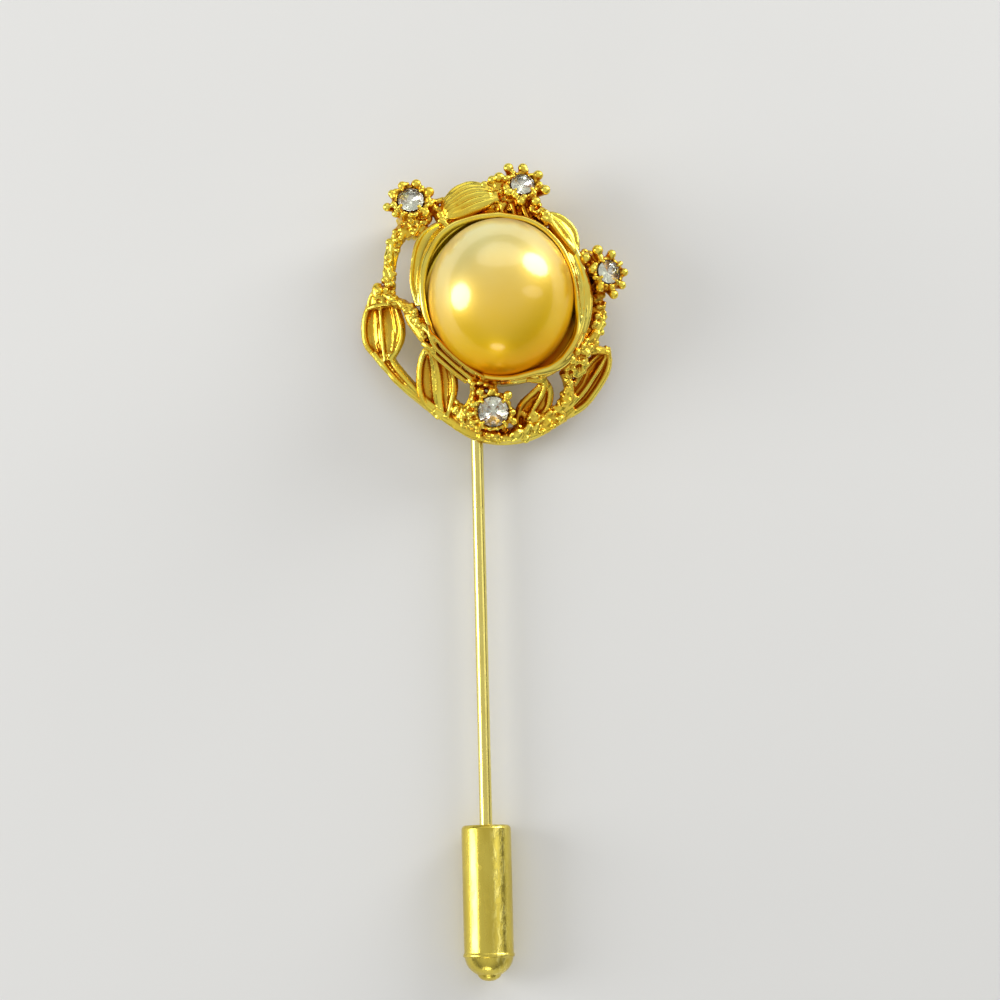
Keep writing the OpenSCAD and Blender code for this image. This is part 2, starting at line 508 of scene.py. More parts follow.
def quarter(centre: Pair, radii: Pair, start: float, steps: int) -> list[Pair]:
    """Points of a quarter oval in an outline.

    Args:
        centre: Its centre's radius and height.
        radii: Its half width and half height.
        start: Its first angle in degrees.
        steps: Stretches between its points. A negative number runs clockwise.

    Returns:
        The points.
    """
    points = []
    for index in range(abs(steps) + 1):
        angle = math.radians(start + 90.0 * index / steps)
        points.append(
            (centre[0] + radii[0] * math.cos(angle), centre[1] + radii[1] * math.sin(angle))
        )
    return points


Number = Union["Value", float]


class Value:
    """A number in a shader, on which Python's arithmetic adds Math nodes."""

    def __init__(self, graph: "Graph", socket: bpy.types.NodeSocket) -> None:
        """Wrap a socket of a graph."""
        self.graph = graph
        self.socket = socket

    def __add__(self, other: Number) -> "Value":
        """This number plus another."""
        return self.graph.math("ADD", self, other)

    __radd__ = __add__

    def __sub__(self, other: Number) -> "Value":
        """This number minus another."""
        return self.graph.math("SUBTRACT", self, other)

    def __rsub__(self, other: Number) -> "Value":
        """Another number minus this one."""
        return self.graph.math("SUBTRACT", other, self)

    def __mul__(self, other: Number) -> "Value":
        """This number times another."""
        return self.graph.math("MULTIPLY", self, other)

    __rmul__ = __mul__

    def clamp(self, low: float, high: float) -> "Value":
        """Stretch a range of this number onto 0 to 1, and cut off what lies outside.

        Args:
            low: The number that becomes 0.
            high: The number that becomes 1.

        Returns:
            The stretched number.
        """
        stretched = (self - low) * (1.0 / (high - low))
        stretched.socket.node.use_clamp = True
        return stretched


class Graph:
    """The node tree of a material, or of the room's light."""

    def __init__(self, owner: Union[Material, bpy.types.World]) -> None:
        """Start with an empty tree.

        Args:
            owner: The new material or world.
        """
        self.owner = owner
        owner.use_nodes = True
        self.tree = owner.node_tree
        self.tree.nodes.clear()

    def node(self, kind: str, settings: dict[str, object], inputs: Sockets) -> bpy.types.Node:
        """Add one node.

        Args:
            kind: The node's type.
            settings: Its own settings, set first.
            inputs: A number, a colour, a vector, a socket or a Value for each input, by the
                input's name or number.

        Returns:
            The node.
        """
        made = self.tree.nodes.new(kind)
        for name, setting in settings.items():
            setattr(made, name, setting)
        for name, given in inputs.items():
            source = given.socket if isinstance(given, Value) else given
            if isinstance(source, bpy.types.NodeSocket):
                self.tree.links.new(source, made.inputs[name])
            else:
                made.inputs[name].default_value = source
        return made

    def math(self, operation: str, *numbers: Number) -> Value:
        """Add a Math node.

        Args:
            operation: What it works out.
            numbers: Its inputs in order.

        Returns:
            Its result.
        """
        made = self.node("ShaderNodeMath", {"operation": operation}, dict(enumerate(numbers)))
        return Value(self, made.outputs[0])

    def mix(self, mask: Number, first: object, second: object) -> bpy.types.NodeSocket:
        """Mix two colours.

        Args:
            mask: Share of the second colour.
            first: A colour or a socket.
            second: A colour or a socket.

        Returns:
            The mixed colour's socket.
        """
        first = (*first, 1.0) if isinstance(first, tuple) else first
        second = (*second, 1.0) if isinstance(second, tuple) else second
        made = self.node("ShaderNodeMix", {"data_type": "RGBA"}, {0: mask, 6: first, 7: second})
        return made.outputs[2]

    def place(self, along: float = 1.0) -> bpy.types.NodeSocket:
        """Object coordinates, for a pattern that may be drawn out along the pin.

        Args:
            along: How much finer the pattern is along the pin than across it.

        Returns:
            The vector's socket.
        """
        whole = self.node("ShaderNodeTexCoord", {}, {}).outputs["Object"]
        inputs = {"Vector": whole, "Scale": (1.0, along, 1.0)}
        return self.node("ShaderNodeMapping", {}, inputs).outputs["Vector"]

    def axes(self, vector: bpy.types.NodeSocket) -> tuple[Value, ...]:
        """The three coordinates of a vector."""
        parts = self.node("ShaderNodeSeparateXYZ", {}, {0: vector})
        return tuple(Value(self, socket) for socket in parts.outputs)

    def noise(self, vector: bpy.types.NodeSocket, waves: float, detail: float = 2.0) -> Value:
        """Soft noise.

        Args:
            vector: Where it is read.
            waves: Waves a metre.
            detail: Finer layers on top.

        Returns:
            Its strength from 0 to 1.
        """
        inputs = {"Vector": vector, "Scale": waves, "Detail": detail}
        return Value(self, self.node("ShaderNodeTexNoise", {}, inputs).outputs["Fac"])

    def unshaded(self, depth: float) -> Value:
        """How open a spot is, from ambient occlusion: 1 on a ridge and 0 deep in a corner, the mask for
        painted shade.

        Args:
            depth: How far away walls still count, in metres.

        Returns:
            The unshaded share.
        """
        made = self.node("ShaderNodeAmbientOcclusion", {"samples": 6}, {"Distance": depth})
        return Value(self, made.outputs["AO"])

    def bump(self, height: Number, depth: float) -> bpy.types.NodeSocket:
        """Bump for a shader's Normal.

        Args:
            height: The height from 0 to 1.
            depth: What height 1 measures, in metres.

        Returns:
            The normal's socket.
        """
        made = self.node("ShaderNodeBump", {}, {"Height": height, "Distance": depth, "Strength": 1.0})
        return made.outputs["Normal"]

    def dress(self, inputs: Sockets) -> Material:
        """Add a material's shader and its output.

        Args:
            inputs: The shader's sockets, as for a node.

        Returns:
            The material.
        """
        shader = self.node("ShaderNodeBsdfPrincipled", {}, inputs)
        self.node("ShaderNodeOutputMaterial", {}, {"Surface": shader.outputs[0]})
        return self.owner


class Finish:
    """A surface's look, which makes one material.

    Attributes:
        name: The material's name.
    """

    name: str

    def graph(self) -> Graph:
        """Start the finish's own material."""
        return Graph(bpy.data.materials.new(self.name))

    def make(self) -> Material:
        """Build the material.

        Returns:
            The material.
        """
        raise NotImplementedError


@dataclass(frozen=True)
class GoldFinish(Finish):
    """Polished gold plate, yellow on its ridges, with painted shade that turns it brown in its hollows.

    Attributes:
        name: The material's name.
        ridge: Colour of open faces.
        hollow: Colour of deep corners, painted shade.
        warm: Colour of the uneven warmer patches.
        mottle: Share of the warmer colour in the middle of a patch.
        depth: How far away the walls of a corner still count for the painted shade, in metres.
        reach: Ambient occlusion where the painted shade is full, and where it ends.
        feet: Heights between which the feet lose the painted shade, in metres.
        gloss: Lowest and highest roughness.
        patchy: Share of the roughness that follows the patches, and not the fine grain.
        grain: Depth of the fine casting grain, in metres.
    """

    name: str = Metal.CAST.value
    ridge: Colour = (1.0, 0.84, 0.12)
    hollow: Colour = (0.52, 0.18, 0.002)
    warm: Colour = (0.97, 0.6, 0.03)
    mottle: float = 0.6
    depth: float = 0.0018
    reach: Pair = (0.50, 1.0)
    feet: Pair = (0.0016, 0.0006)
    gloss: Pair = (0.18, 0.34)
    patchy: float = 0.6
    grain: float = 0.000012

    def make(self) -> Material:
        """Build the material.

        Returns:
            The material.
        """
        graph = self.graph()
        place = graph.place()
        patches = graph.noise(place, waves=520.0, detail=3.0).clamp(0.38, 0.66)
        fine = graph.noise(place, waves=5200.0)
        _, _, height = graph.axes(place)
        feet = height.clamp(*self.feet)
        # Ambient occlusion paints shade into the corners: the hollow colour is painted shade, kept off the
        # feet on the table.
        unshaded = graph.math("MAXIMUM", graph.unshaded(self.depth).clamp(*self.reach), feet)
        ridge = graph.mix(patches * self.mottle, self.ridge, self.warm)
        low, high = self.gloss
        uneven = patches * self.patchy + fine * (1.0 - self.patchy)
        return graph.dress({
            "Base Color": graph.mix(unshaded, self.hollow, ridge),
            "Metallic": 1.0,
            "Roughness": uneven * (high - low) + low,
            "Normal": graph.bump(fine, self.grain),
        })


@dataclass(frozen=True)
class DrawnFinish(Finish):
    """Pale gold plate on drawn metal, with fine rubs along the pin, small pits, and pale spots along one
    flank that are partly lifted plate and partly a painted highlight band.

    Attributes:
        name: The material's name.
        base: Main colour.
        dull: Colour where the plate is rubbed.
        gloss: Lowest and highest roughness.
        rub: Depth of the rubs, in metres.
        pits: Depth of the small pits, in metres.
        pitted: Roughness that a pit adds.
        bright: Colour of the spots where the plate has lifted, which also paint a highlight along one
            flank.
        flecks_and_highlight: Strength of the lifted spots and of their painted highlight.
        highlight_band: Middle of the flecked flank across the pin, where the painted highlight lies, and
            its half width, in metres.
    """

    name: str = Metal.CLUTCH.value
    base: Colour = (0.79, 0.64, 0.11)
    dull: Colour = (0.6, 0.46, 0.06)
    gloss: Pair = (0.20, 0.36)
    rub: float = 0.000006
    pits: float = 0.000010
    pitted: float = 0.12
    bright: Colour = (1.0, 0.85, 0.22)
    flecks_and_highlight: float = 0.8
    highlight_band: Pair = (-0.00062, 0.00075)

    def make(self) -> Material:
        """Build the material.

        Returns:
            The material.
        """
        graph = self.graph()
        rubs = graph.noise(graph.place(0.035), waves=5200.0, detail=3.0)
        cloudy = graph.noise(graph.place(0.35), waves=700.0, detail=3.0).clamp(0.35, 0.7)
        specks = graph.noise(graph.place(0.5), waves=2600.0).clamp(0.56, 0.7)
        lifted = graph.noise(graph.place(0.36), waves=3600.0, detail=5.0).clamp(0.48, 0.60)
        # Pale spots along one flank only: partly lifted plate, partly a painted highlight band.
        middle, half = self.highlight_band
        across, _, _ = graph.axes(graph.place())
        aside = graph.math("ABSOLUTE", across - middle)
        flecks_and_highlight = lifted * aside.clamp(half, half * 0.5) * self.flecks_and_highlight
        plate = graph.mix(cloudy * 0.8, self.base, self.dull)
        low, high = self.gloss
        height = rubs * (self.rub / self.pits) - specks * cloudy + flecks_and_highlight
        return graph.dress({
            "Base Color": graph.mix(flecks_and_highlight, plate, self.bright),
            "Metallic": 1.0,
            "Roughness": cloudy * (high - low) + specks * self.pitted + low,
            "Normal": graph.bump(height, self.pits),
        })


@dataclass(frozen=True)
class PearlFinish(Finish):
    """Golden pearl lacquer under a clear gloss, with painted light: paler cream towards the head's top
    where light falls, honey below, and an orange painted glow of the gold's reflected light at the lower
    edge.

    Attributes:
        name: The material's name.
        crown: Colour of the upper part, paler as painted light.
        waist: Colour of the middle.
        low: Colour of the lower edge, a painted glow of the gold's reflected light.
        ends: Places along the pin where the middle and the upper colour are full, in metres.
        tilt: How far the colours rise from the left to the right.
        stray: How far the clouds push the colours' edges, in metres.
        dome: Heights where the clear gloss begins and where it is full, in metres.
        shine: Weight of the clear gloss at the edge, low on the dome and more high on it.
        fade: Where the lower painted glow ends and where it is full, from the middle one's place.
        swell: How far over the middle colour's place the clear gloss is full, in metres.
        pores: Depth of the finest bumps, in metres.
    """

    name: str = "golden_pearl"
    crown: Colour = (0.93, 0.87, 0.4)
    waist: Colour = (0.94, 0.59, 0.006)
    low: Colour = (1.0, 0.47, 0.002)
    ends: Pair = (0.0165, 0.0265)
    tilt: float = 0.3
    stray: float = 0.003
    dome: Pair = (0.0052, 0.0085)
    shine: Point = (0.03, 0.12, 0.62)
    fade: Pair = (0.001, -0.002)
    swell: float = 0.004
    pores: float = 0.000003

    def make(self) -> Material:
        """Build the material.

        Returns:
            The material.
        """
        graph = self.graph()
        place = graph.place()
        across, along, height = graph.axes(place)
        clouds = graph.noise(place, waves=260.0, detail=4.0)
        drift = along - across * self.tilt + (clouds - 0.5) * self.stray
        nacre = graph.noise(place, waves=2400.0, detail=3.0)
        dome = height.clamp(*self.dome)
        middle, top = self.ends
        edge, below, above = self.shine
        gloss = drift.clamp(middle, middle + self.swell) * above + below
        # The colours along the pin are painted light: paler towards the top, and an orange painted glow of
        # reflected gold at the lower edge.
        rise = drift.clamp(middle, top)
        painted_glow = drift.clamp(middle + self.fade[0], middle + self.fade[1])
        upper = graph.mix(rise * rise, self.waist, self.crown)
        return graph.dress({
            "Base Color": graph.mix(painted_glow, upper, self.low),
            "Metallic": 0.85 - dome * 0.45,
            "Roughness": 0.34 + nacre * 0.08,
            "Specular IOR Level": 0.3,
            "Specular Tint": (1.0, 0.7, 0.2, 1.0),
            "Coat Weight": edge + dome * gloss,
            "Coat Roughness": 0.13,
            "Coat IOR": 2.0,
            "Normal": graph.bump(nacre, self.pores),
        })


@dataclass(frozen=True)
class CrystalFinish(Finish):
    """Clear cut glass.

    Attributes:
        name: The material's name.
        tint: Its colour.
        wear: Roughness of its most worn places.
    """

    name: str = "cut_crystal"
    tint: Colour = (1.0, 1.0, 1.0)
    wear: float = 0.04

    def make(self) -> Material:
        """Build the material.

        Returns:
            The material.
        """
        graph = self.graph()
        return graph.dress({
            "Base Color": (*self.tint, 1.0),
            "Roughness": graph.noise(graph.place(), waves=3000.0) * self.wear,
            "IOR": 1.52,
            "Transmission Weight": 1.0,
        })


@dataclass(frozen=True)
class FoilFinish(Finish):
    """Silver foil on the back of a stone, a little crinkled.

    Attributes:
        name: The material's name.
        base: Its colour.
        shade: Its colour in the crinkles.
        gloss: Lowest and highest roughness.
    """

    name: str = "silver_foil"
    base: Colour = (1.0, 1.0, 0.93)
    shade: Colour = (0.9, 0.93, 0.8)
    gloss: Pair = (0.12, 0.24)

    def make(self) -> Material:
        """Build the material.

        Returns:
            The material.
        """
        graph = self.graph()
        crinkle = graph.noise(graph.place(), waves=1500.0)
        low, high = self.gloss
        return graph.dress({
            "Base Color": graph.mix(crinkle, self.base, self.shade),
            "Metallic": 1.0,
            "Roughness": low + crinkle * (high - low),
        })


@dataclass(frozen=True)
class TableFinish(Finish):
    """Plain pale table, very slightly cloudy.

    Attributes:
        name: The material's name.
        base: Its colour.
        cloudy: Its slightly darker colour.
    """

    name: str = "pale_table"
    base: Colour = (0.8, 0.8, 0.79)
    cloudy: Colour = (0.776, 0.776, 0.7663)

    def make(self) -> Material:
        """Build the material.

        Returns:
            The material.
        """
        graph = self.graph()
        clouds = graph.noise(graph.place(), waves=40.0)
        colour = graph.mix(clouds, self.cloudy, self.base)
        return graph.dress({"Base Color": colour, "Roughness": 0.75})


class Palette:
    """All materials of the pin, each made once."""

    def __init__(self) -> None:
        """Make the materials."""
        # The smooth gold gets the same painted shade in its hollows, over a shorter distance.
        smooth = GoldFinish(
            Metal.SMOOTH.value, ridge=(1.0, 0.855, 0.165), gloss=(0.14, 0.26), grain=0.000004,
            depth=0.0006, reach=(0.05, 0.55),
        )
        wire = DrawnFinish(
            Metal.WIRE.value, base=(0.95, 0.82, 0.25), dull=(0.8, 0.66, 0.15),
            gloss=(0.16, 0.28), pits=0.000004, flecks_and_highlight=0.0,
        )
        self.metals: dict[Metal, Material] = {
            Metal.CAST: GoldFinish().make(),
            Metal.SMOOTH: smooth.make(),
            Metal.WIRE: wire.make(),
            Metal.CLUTCH: DrawnFinish().make(),
        }
        self.pearl = PearlFinish().make()
        self.crystal = CrystalFinish().make()
        self.foil = FoilFinish().make()
        self.table = TableFinish().make()


@dataclass
class Leaf:
    """Cast leaf between two edge lines: a hollow blade, a raised rim and ribs that run lengthwise.

    Its edges are rows of across, along and height, seen from the pearl's axis, from the tip to
    the base. A place on the blade is told by its share across, from -1 on the first edge to 1 on
    the second, and its share along, from 0 at the tip to 1 at the base.

    Attributes:
        first: Its first edge.
        second: Its second edge.
        ribs: Share across, first and last share along, and radius of each rib.
        veins: Fine uneven veins besides the ribs.
        cup: Depth of the blade's hollow.
        crown: Height of the blade's bulge.
        folded: Whether the blade has a hollow on each side of its middle, or one in all.
        rim: Radius of the raised rim.
        lift: Height of the rim's middle over the blade.
        thick: Thickness of the blade.
        raised: Height of the ribs' middle over the blade.
        mesh: Twice the widest gap between the blade's lengthwise lines.
        steady: Shares along, outside which the upward direction stays the same.
        seed: Start of its small unevenness.
    """

    first: Sequence[Point]
    second: Sequence[Point]
    ribs: Sequence[Station] = ()
    veins: int = 0
    cup: float = 0.42
    crown: float = 0.0
    folded: bool = True
    rim: float = 0.19
    lift: float = 0.05
    thick: float = 0.30
    raised: float = 0.02
    mesh: float = 0.7
    steady: Pair = (0.12, 0.88)
    seed: int = 1

    def edges(self, share: float) -> tuple[Vector, Vector]:
        """Both edges at a share of the length."""
        return Vector(trace(self.first, share)), Vector(trace(self.second, share))

    def width(self, share: float) -> float:
        """Width of the blade at a share of the length."""
        first, second = self.edges(share)
        return (second - first).length

    def upward(self, share: float) -> Vector:
        """Direction out of the blade's upper face.

        Args:
            share: Share of the length.

        Returns:
            The direction, one long.
        """
        inner = min(max(share, self.steady[0]), self.steady[1])
        step = 0.05
        first, second = self.edges(inner)
        ahead, behind = self.edges(inner + step), self.edges(inner - step)
        run = (ahead[0] + ahead[1]) - (behind[0] + behind[1])
        normal = run.cross(second - first).normalized()
        return normal if normal.z > 0.0 else -normal

    def floor(self, across: float, share: float) -> float:
        """Height of the blade over the plane of its edges.

        Args:
            across: Share across.
            share: Share along.

        Returns:
            The height, which dies away at both ends.
        """
        half = 2.0 * abs(across) - 1.0 if self.folded else across
        hollow = self.cup * (1.0 - half * half)
        bulge = self.crown * (1.0 - across * across)
        ends = 1.0 - (2.0 * share - 1.0) ** 4
        return (bulge - hollow) * ends

    def spot(self, across: float, share: float, lift: float) -> Vector:
        """Point on the blade.

        Args:
            across: Share across.
            share: Share along.
            lift: Height over the blade's face.

        Returns:
            The point, seen from the pearl's axis.
        """
        first, second = self.edges(share)
        height = self.floor(across, share) + lift
        return first.lerp(second, (across + 1.0) / 2.0) + self.upward(share) * height

    def blade(self) -> Object:
        """Model the blade: lines from tip to base, bridged to a sheet and thickened.

        Returns:
            The blade.
        """
        widest = max(self.width(step / 8) for step in range(9))
        gaps = 2 * max(2, math.ceil(widest / self.mesh))
        lines = Skein()
        for index in range(gaps + 1):
            across = 2.0 * index / gaps - 1.0
            shares = [0.01 + 0.98 * step / 12 for step in range(13)]
            points = [self.spot(across, share, -self.thick / 2) for share in shares]
            lines.add(points, [1.0] * len(points))
        blade = lines.build(round_rods=False)
        Bench.edit(all_over=True)
        bpy.ops.mesh.bridge_edge_loops(type="SINGLE")
        Bench.done()
        Bench.modify(blade, "SOLIDIFY", thickness=self.thick, offset=0.0)
        return blade

    def lay_rim(self, skein: Skein, chance: random.Random) -> None:
        """Lay the raised rim along both edges.

        Args:
            skein: Takes the threads.
            chance: Draws the small unevenness.
        """
        for side in (-1.0, 1.0):
            points, radii = [], []
            for step in range(11):
                share = step / 10
                inset = max(0.0, 1.0 - 2.0 * self.rim / max(self.width(share), 0.01))
                points.append(self.spot(side * inset, share, self.lift))
                radii.append(self.rim * chance.uniform(0.88, 1.1))
            skein.add(points, radii)

    def lay_ribs(self, skein: Skein, chance: random.Random) -> None:
        """Lay the ribs, each thinner at its ends.

        Args:
            skein: Takes the threads.
            chance: Draws the small unevenness.
        """
        for across, start, end, radius in self.ribs:
            points, radii = [], []
            for step in range(7):
                share = start + (end - start) * step / 6
                points.append(self.spot(across, share, self.raised))
                radii.append(radius * chance.uniform(0.85, 1.12) * (0.6 if step in (0, 6) else 1))
            skein.add(points, radii)

    def lay_veins(self, skein: Skein, chance: random.Random) -> None:
        """Lay the fine veins, each along a part of the blade.

        Args:
            skein: Takes the threads.
            chance: Draws their places and thicknesses.
        """
        for index in range(self.veins):
            across = 1.6 * (index + 0.5) / self.veins - 0.8 + chance.uniform(-0.06, 0.06)
            start = chance.uniform(0.1, 0.45)
            end = start + chance.uniform(0.3, 0.5)
            points = []
            for step in range(5):
                stray = across + chance.uniform(-0.03, 0.03)
                points.append(self.spot(stray, start + (end - start) * step / 4, 0.0))
            thick = chance.uniform(0.07, 0.11)
            skein.add(points, [thick * 0.6, thick, thick, thick, thick * 0.6])

    def build(self) -> Object:
        """Model the leaf at its place round the pearl.

        Returns:
            The leaf.
        """
        chance = random.Random(self.seed)
        skein = Skein()
        self.lay_rim(skein, chance)
        self.lay_ribs(skein, chance)
        self.lay_veins(skein, chance)
        return Bench.join([self.blade(), skein.build()], "leaf")


@dataclass
class Vine:
    """Stem of the wreath: a rod, with strands that lie or twist beside each other and cast grains.

    Attributes:
        stations: Turn, reach, height and half thickness of its middle line.
        grains: Cast grains strewn over its upper side.
        grain: Radius of a grain.
        spread: How far to each side of the top the grains lie, in degrees.
        proud: Distance of the grains from the middle line, in parts of the half thickness.
        seed: Start of its small unevenness.
        core: Radius of the plain rod inside, in parts of the half thickness.
        strands: Strands in it.
        twists: Turns of the strands round the middle line.
        share: Radius of a strand in parts of the vine's half thickness.
        knots: How uneven the strands are, from 0 to 1.
        start: Where the first strand lies at the first station, in turns from the outer side up.
    """

    stations: Sequence[Station]
    grains: int = 0
    grain: float = 0.27
    spread: float = 62.0
    proud: float = 0.86
    seed: int = 1
    core: float = 0.92
    strands: int = 0
    twists: float = 0.0
    share: float = 0.5
    knots: float = 0.0
    start: float = 0.0

    def beside(self, share: float, angle: float, inset: float) -> Vector:
        """Point beside the middle line.

        Args:
            share: Share of the vine's length.
            angle: Where it lies round the middle line, from the outer side up, in radians.
            inset: Distance from the middle line in parts of the half thickness.

        Returns:
            The point.
        """
        turn, reach, height, half = trace(self.stations, share)
        off = half * inset
        return polar(turn, reach + off * math.cos(angle), height + off * math.sin(angle))

    def strew(self, chance: random.Random) -> list[tuple[Vector, float]]:
        """Strew the grains evenly along the vine, and to and fro across its upper side.

        Args:
            chance: Draws the small unevenness.

        Returns:
            Their places and radii.
        """
        rows = []
        for index in range(self.grains):
            share = (index + chance.uniform(0.2, 0.8)) / self.grains
            side = 90.0 + self.spread * math.cos(math.radians(GOLDEN_TURN * index))
            side += chance.uniform(-12, 12)
            spot = self.beside(share, math.radians(side), self.proud)
            rows.append((spot, self.grain * chance.uniform(0.72, 1.2)))
        return rows

    def lay_strand(self, skein: Skein, chance: random.Random, first: float) -> None:
        """Lay one strand along the vine.

        Args:
            skein: Takes the thread.
            chance: Draws the small unevenness.
            first: Where it lies at the first station, in turns.
        """
        steps = max(8, 3 * len(self.stations))
        points, radii = [], []
        for index in range(steps + 1):
            share = index / steps
            angle = math.tau * (first + self.twists * share)
            points.append(self.beside(share, angle, 1.0 - self.share))
            uneven = 1.0 + self.knots * chance.uniform(-1.0, 1.0)
            ends = min(1.0, 0.55 + 3.0 * min(share, 1.0 - share))
            radii.append(trace(self.stations, share)[3] * self.share * uneven * ends)
        skein.add(points, radii)

    def build(self) -> Object:
        """Model the rod, the strands and the grains on them.

        Returns:
            The vine at its place round the pearl.
        """
        chance = random.Random(self.seed)
        skein = Skein()
        skein.add_round([(*row[:3], row[3] * self.core) for row in self.stations])
        for strand in range(self.strands):
            self.lay_strand(skein, chance, self.start + strand / self.strands)
        grains = bead_copies(self.strew(chance))
        return Bench.join([skein.build(), *grains], "vine")


@dataclass
class Flower:
    """Cast flower: a tapering basket with ribs, ball-tipped petals, a bezel and four claws.

    In its own frame Z runs along its lean and the stone's girdle is at the origin.

    Attributes:
        turn: Angle of its stone round the pearl.
        reach: Distance of its stone from the pearl's axis.
        height: Height of its stone's girdle.
        lean: How far it leans, in degrees.
        lean_turn: The side it leans to, as an angle on the pin.
        foot: Height of its foot.
        stone: Radius of its stone.
        petals: Angle on the pin, distance from the stone's axis, ball radius and drop of each.
        claws: Angle of the first claw on the pin.
        columns: Upright ribs on the basket.
        beads: Small beads round the stone.
        bead_ring: Distance of the small beads from the stone's axis.
        bead_size: Radius of a small bead.
        seed: Start of its small unevenness.
        grains: Grains on the basket's wall.
        narrow: Radius of the basket's foot, and the reach of its grains and ribs there.
        wall: Thickness of the basket's wall beside the stone.
        pit: Depth of the stone's seat in parts of the stone's radius, and its floor's width in
            parts of its mouth's.
        arm: Radius of a petal's arm at its root and at the basket's edge.
        column: Radius of the thinnest and of the thickest rib.
        claw: Radius of a claw at its foot, beside the girdle and at its tip.
        bezel: Radius of the round thread that holds the stone.
    """

    turn: float
    reach: float
    height: float
    lean: float
    lean_turn: float
    foot: float
    stone: float
    petals: Sequence[Station]
    claws: float
    columns: int
    beads: int
    bead_ring: float
    bead_size: float
    seed: int
    grains: int = 16
    narrow: Pair = (0.70, 0.42)
    wall: float = 0.34
    pit: Pair = (0.75, 0.3)
    arm: Pair = (0.3, 0.42)
    column: Pair = (0.17, 0.27)
    claw: Point = (0.22, 0.19, 0.14)
    bezel: float = 0.17

    def seat(self) -> Matrix:
        """Matrix from the flower's own frame to the pearl's.

        Returns:
            The matrix.
        """
        aside = Matrix.Rotation(math.radians(self.lean_turn), 4, "Z")
        tipped = Matrix.Rotation(math.radians(self.lean), 4, "Y")
        spot = Matrix.Translation(polar(self.turn, self.reach, self.height))
        return spot @ aside @ tipped @ aside.inverted()

    def depth(self) -> float:
        """Distance along the lean from the girdle down to the foot."""
        lean = math.radians(self.lean)
        return (self.height - self.foot - 0.9 * math.sin(lean)) / math.cos(lean)

    def reach_at(self, down: float, proud: float) -> float:
        """Distance of the basket's wall from the stone's axis.

        Args:
            down: Distance below the girdle.
            proud: Distance outside the stone's edge at the girdle.

        Returns:
            The distance.
        """
        return self.stone + proud + (self.narrow[1] - self.stone) * down / self.depth()

    def basket(self) -> Object:
        """Model the basket: a cone, its top inset and pushed down for the stone.

        Returns:
            The basket.
        """
        depth = self.depth()
        Bench.clear()
        bpy.ops.mesh.primitive_cone_add(
            vertices=32,
            radius1=self.narrow[0],
            radius2=self.stone + self.wall,
            depth=depth,
            location=(0.0, 0.0, -depth / 2 - 0.05),
        )
        Bench.edit()
        Bench.pick_faces(lambda centre, normal: normal.z > 0.9)
        bpy.ops.mesh.inset(thickness=self.wall - 0.01)
        deep, floor = self.pit
        bpy.ops.transform.translate(value=(0.0, 0.0, -self.stone * deep))
        bpy.ops.transform.resize(value=(floor, floor, 1.0))
        return Bench.done()

    def lay_petals(self, skein: Skein) -> None:
        """Lay the petals' arms from the basket out to their balls.

        Args:
            skein: Takes the threads.
        """
        root = -min(self.depth(), 2.4) * 0.66
        for turn, spread, ball, drop in self.petals:
            points = [
                polar(turn, self.stone * 0.9, root),
                polar(turn, self.stone + 0.20, -0.86),
                polar(turn, (self.stone + 0.25 + spread) / 2, -0.40 - drop * 0.6),
                polar(turn, spread, -drop - 0.05),
            ]
            skein.add(points, [*self.arm, ball * 1.02, ball * 0.96])

    def lay_columns(self, skein: Skein, chance: random.Random) -> None:
        """Lay the uneven ribs down the basket's wall.

        Args:
            skein: Takes the threads.
            chance: Draws the small unevenness.
        """
        depth = self.depth()
        for index in range(self.columns):
            turn = 360.0 * (index + 0.5) / self.columns + chance.uniform(-4.0, 4.0)
            rows = []
            for step in range(6):
                down = 0.15 + (depth - 0.15) * step / 5
                spot = (turn + chance.uniform(-3.0, 3.0), self.reach_at(down, 0.30), -down - 0.1)
                rows.append((*spot, chance.uniform(*self.column)))
            skein.add_round(rows)

    def lay_claws(self, skein: Skein, chance: random.Random) -> None:
        """Lay the four claws over the stone's edge, and the bezel round it.

        Args:
            skein: Takes the threads.
            chance: Draws the small unevenness.
        """
        ring = self.stone + 0.10
        foot, side, end = self.claw
        for index in range(4):
            turn = self.claws + 90.0 * index
            tip = (turn, ring - 0.17, self.stone * 0.30 + 0.05, end)
            skein.add_round([(turn, ring + 0.10, -0.6, foot), (turn, ring + 0.07, 0.08, side), tip])
        rows = []
        for step in range(13):
            rows.append((30.0 * step, ring + chance.uniform(0.06, 0.12), -0.16, self.bezel))
        skein.add_round(rows)

    def balls(self) -> list[Object]:
        """Model the balls of the petals, the small beads round the stone and the grains below.

        Returns:
            The balls.
        """
        chance = random.Random(self.seed + 7)
        rows = [(polar(turn, spread, -drop), ball * 1.1) for turn, spread, ball, drop in self.petals]
        for index in range(self.beads):
            turn = 360.0 * index / self.beads + chance.uniform(-5.0, 5.0)
            size = self.bead_size * chance.uniform(0.85, 1.2)
            rows.append((polar(turn, self.bead_ring + chance.uniform(-0.06, 0.06), 0.0), size))
        depth = self.depth()
        for index in range(self.grains):
            turn = GOLDEN_TURN * index + chance.uniform(-9.0, 9.0)
            down = 0.7 + (depth - 1.0) * (index + 0.5) / self.grains
            spot = polar(turn, self.reach_at(down, 0.42), -down)
            rows.append((spot, chance.uniform(0.2, 0.32)))
        return bead_copies(rows)

    def build(self) -> Object:
        """Model the flower and stand it at its place round the pearl.

        Returns:
            The flower.
        """
        chance = random.Random(self.seed)
        skein = Skein()
        self.lay_petals(skein)
        self.lay_columns(skein, chance)
        self.lay_claws(skein, chance)
        flower = Bench.join([self.basket(), skein.build(), *self.balls()], "flower")
        return Bench.place(flower, self.seat())


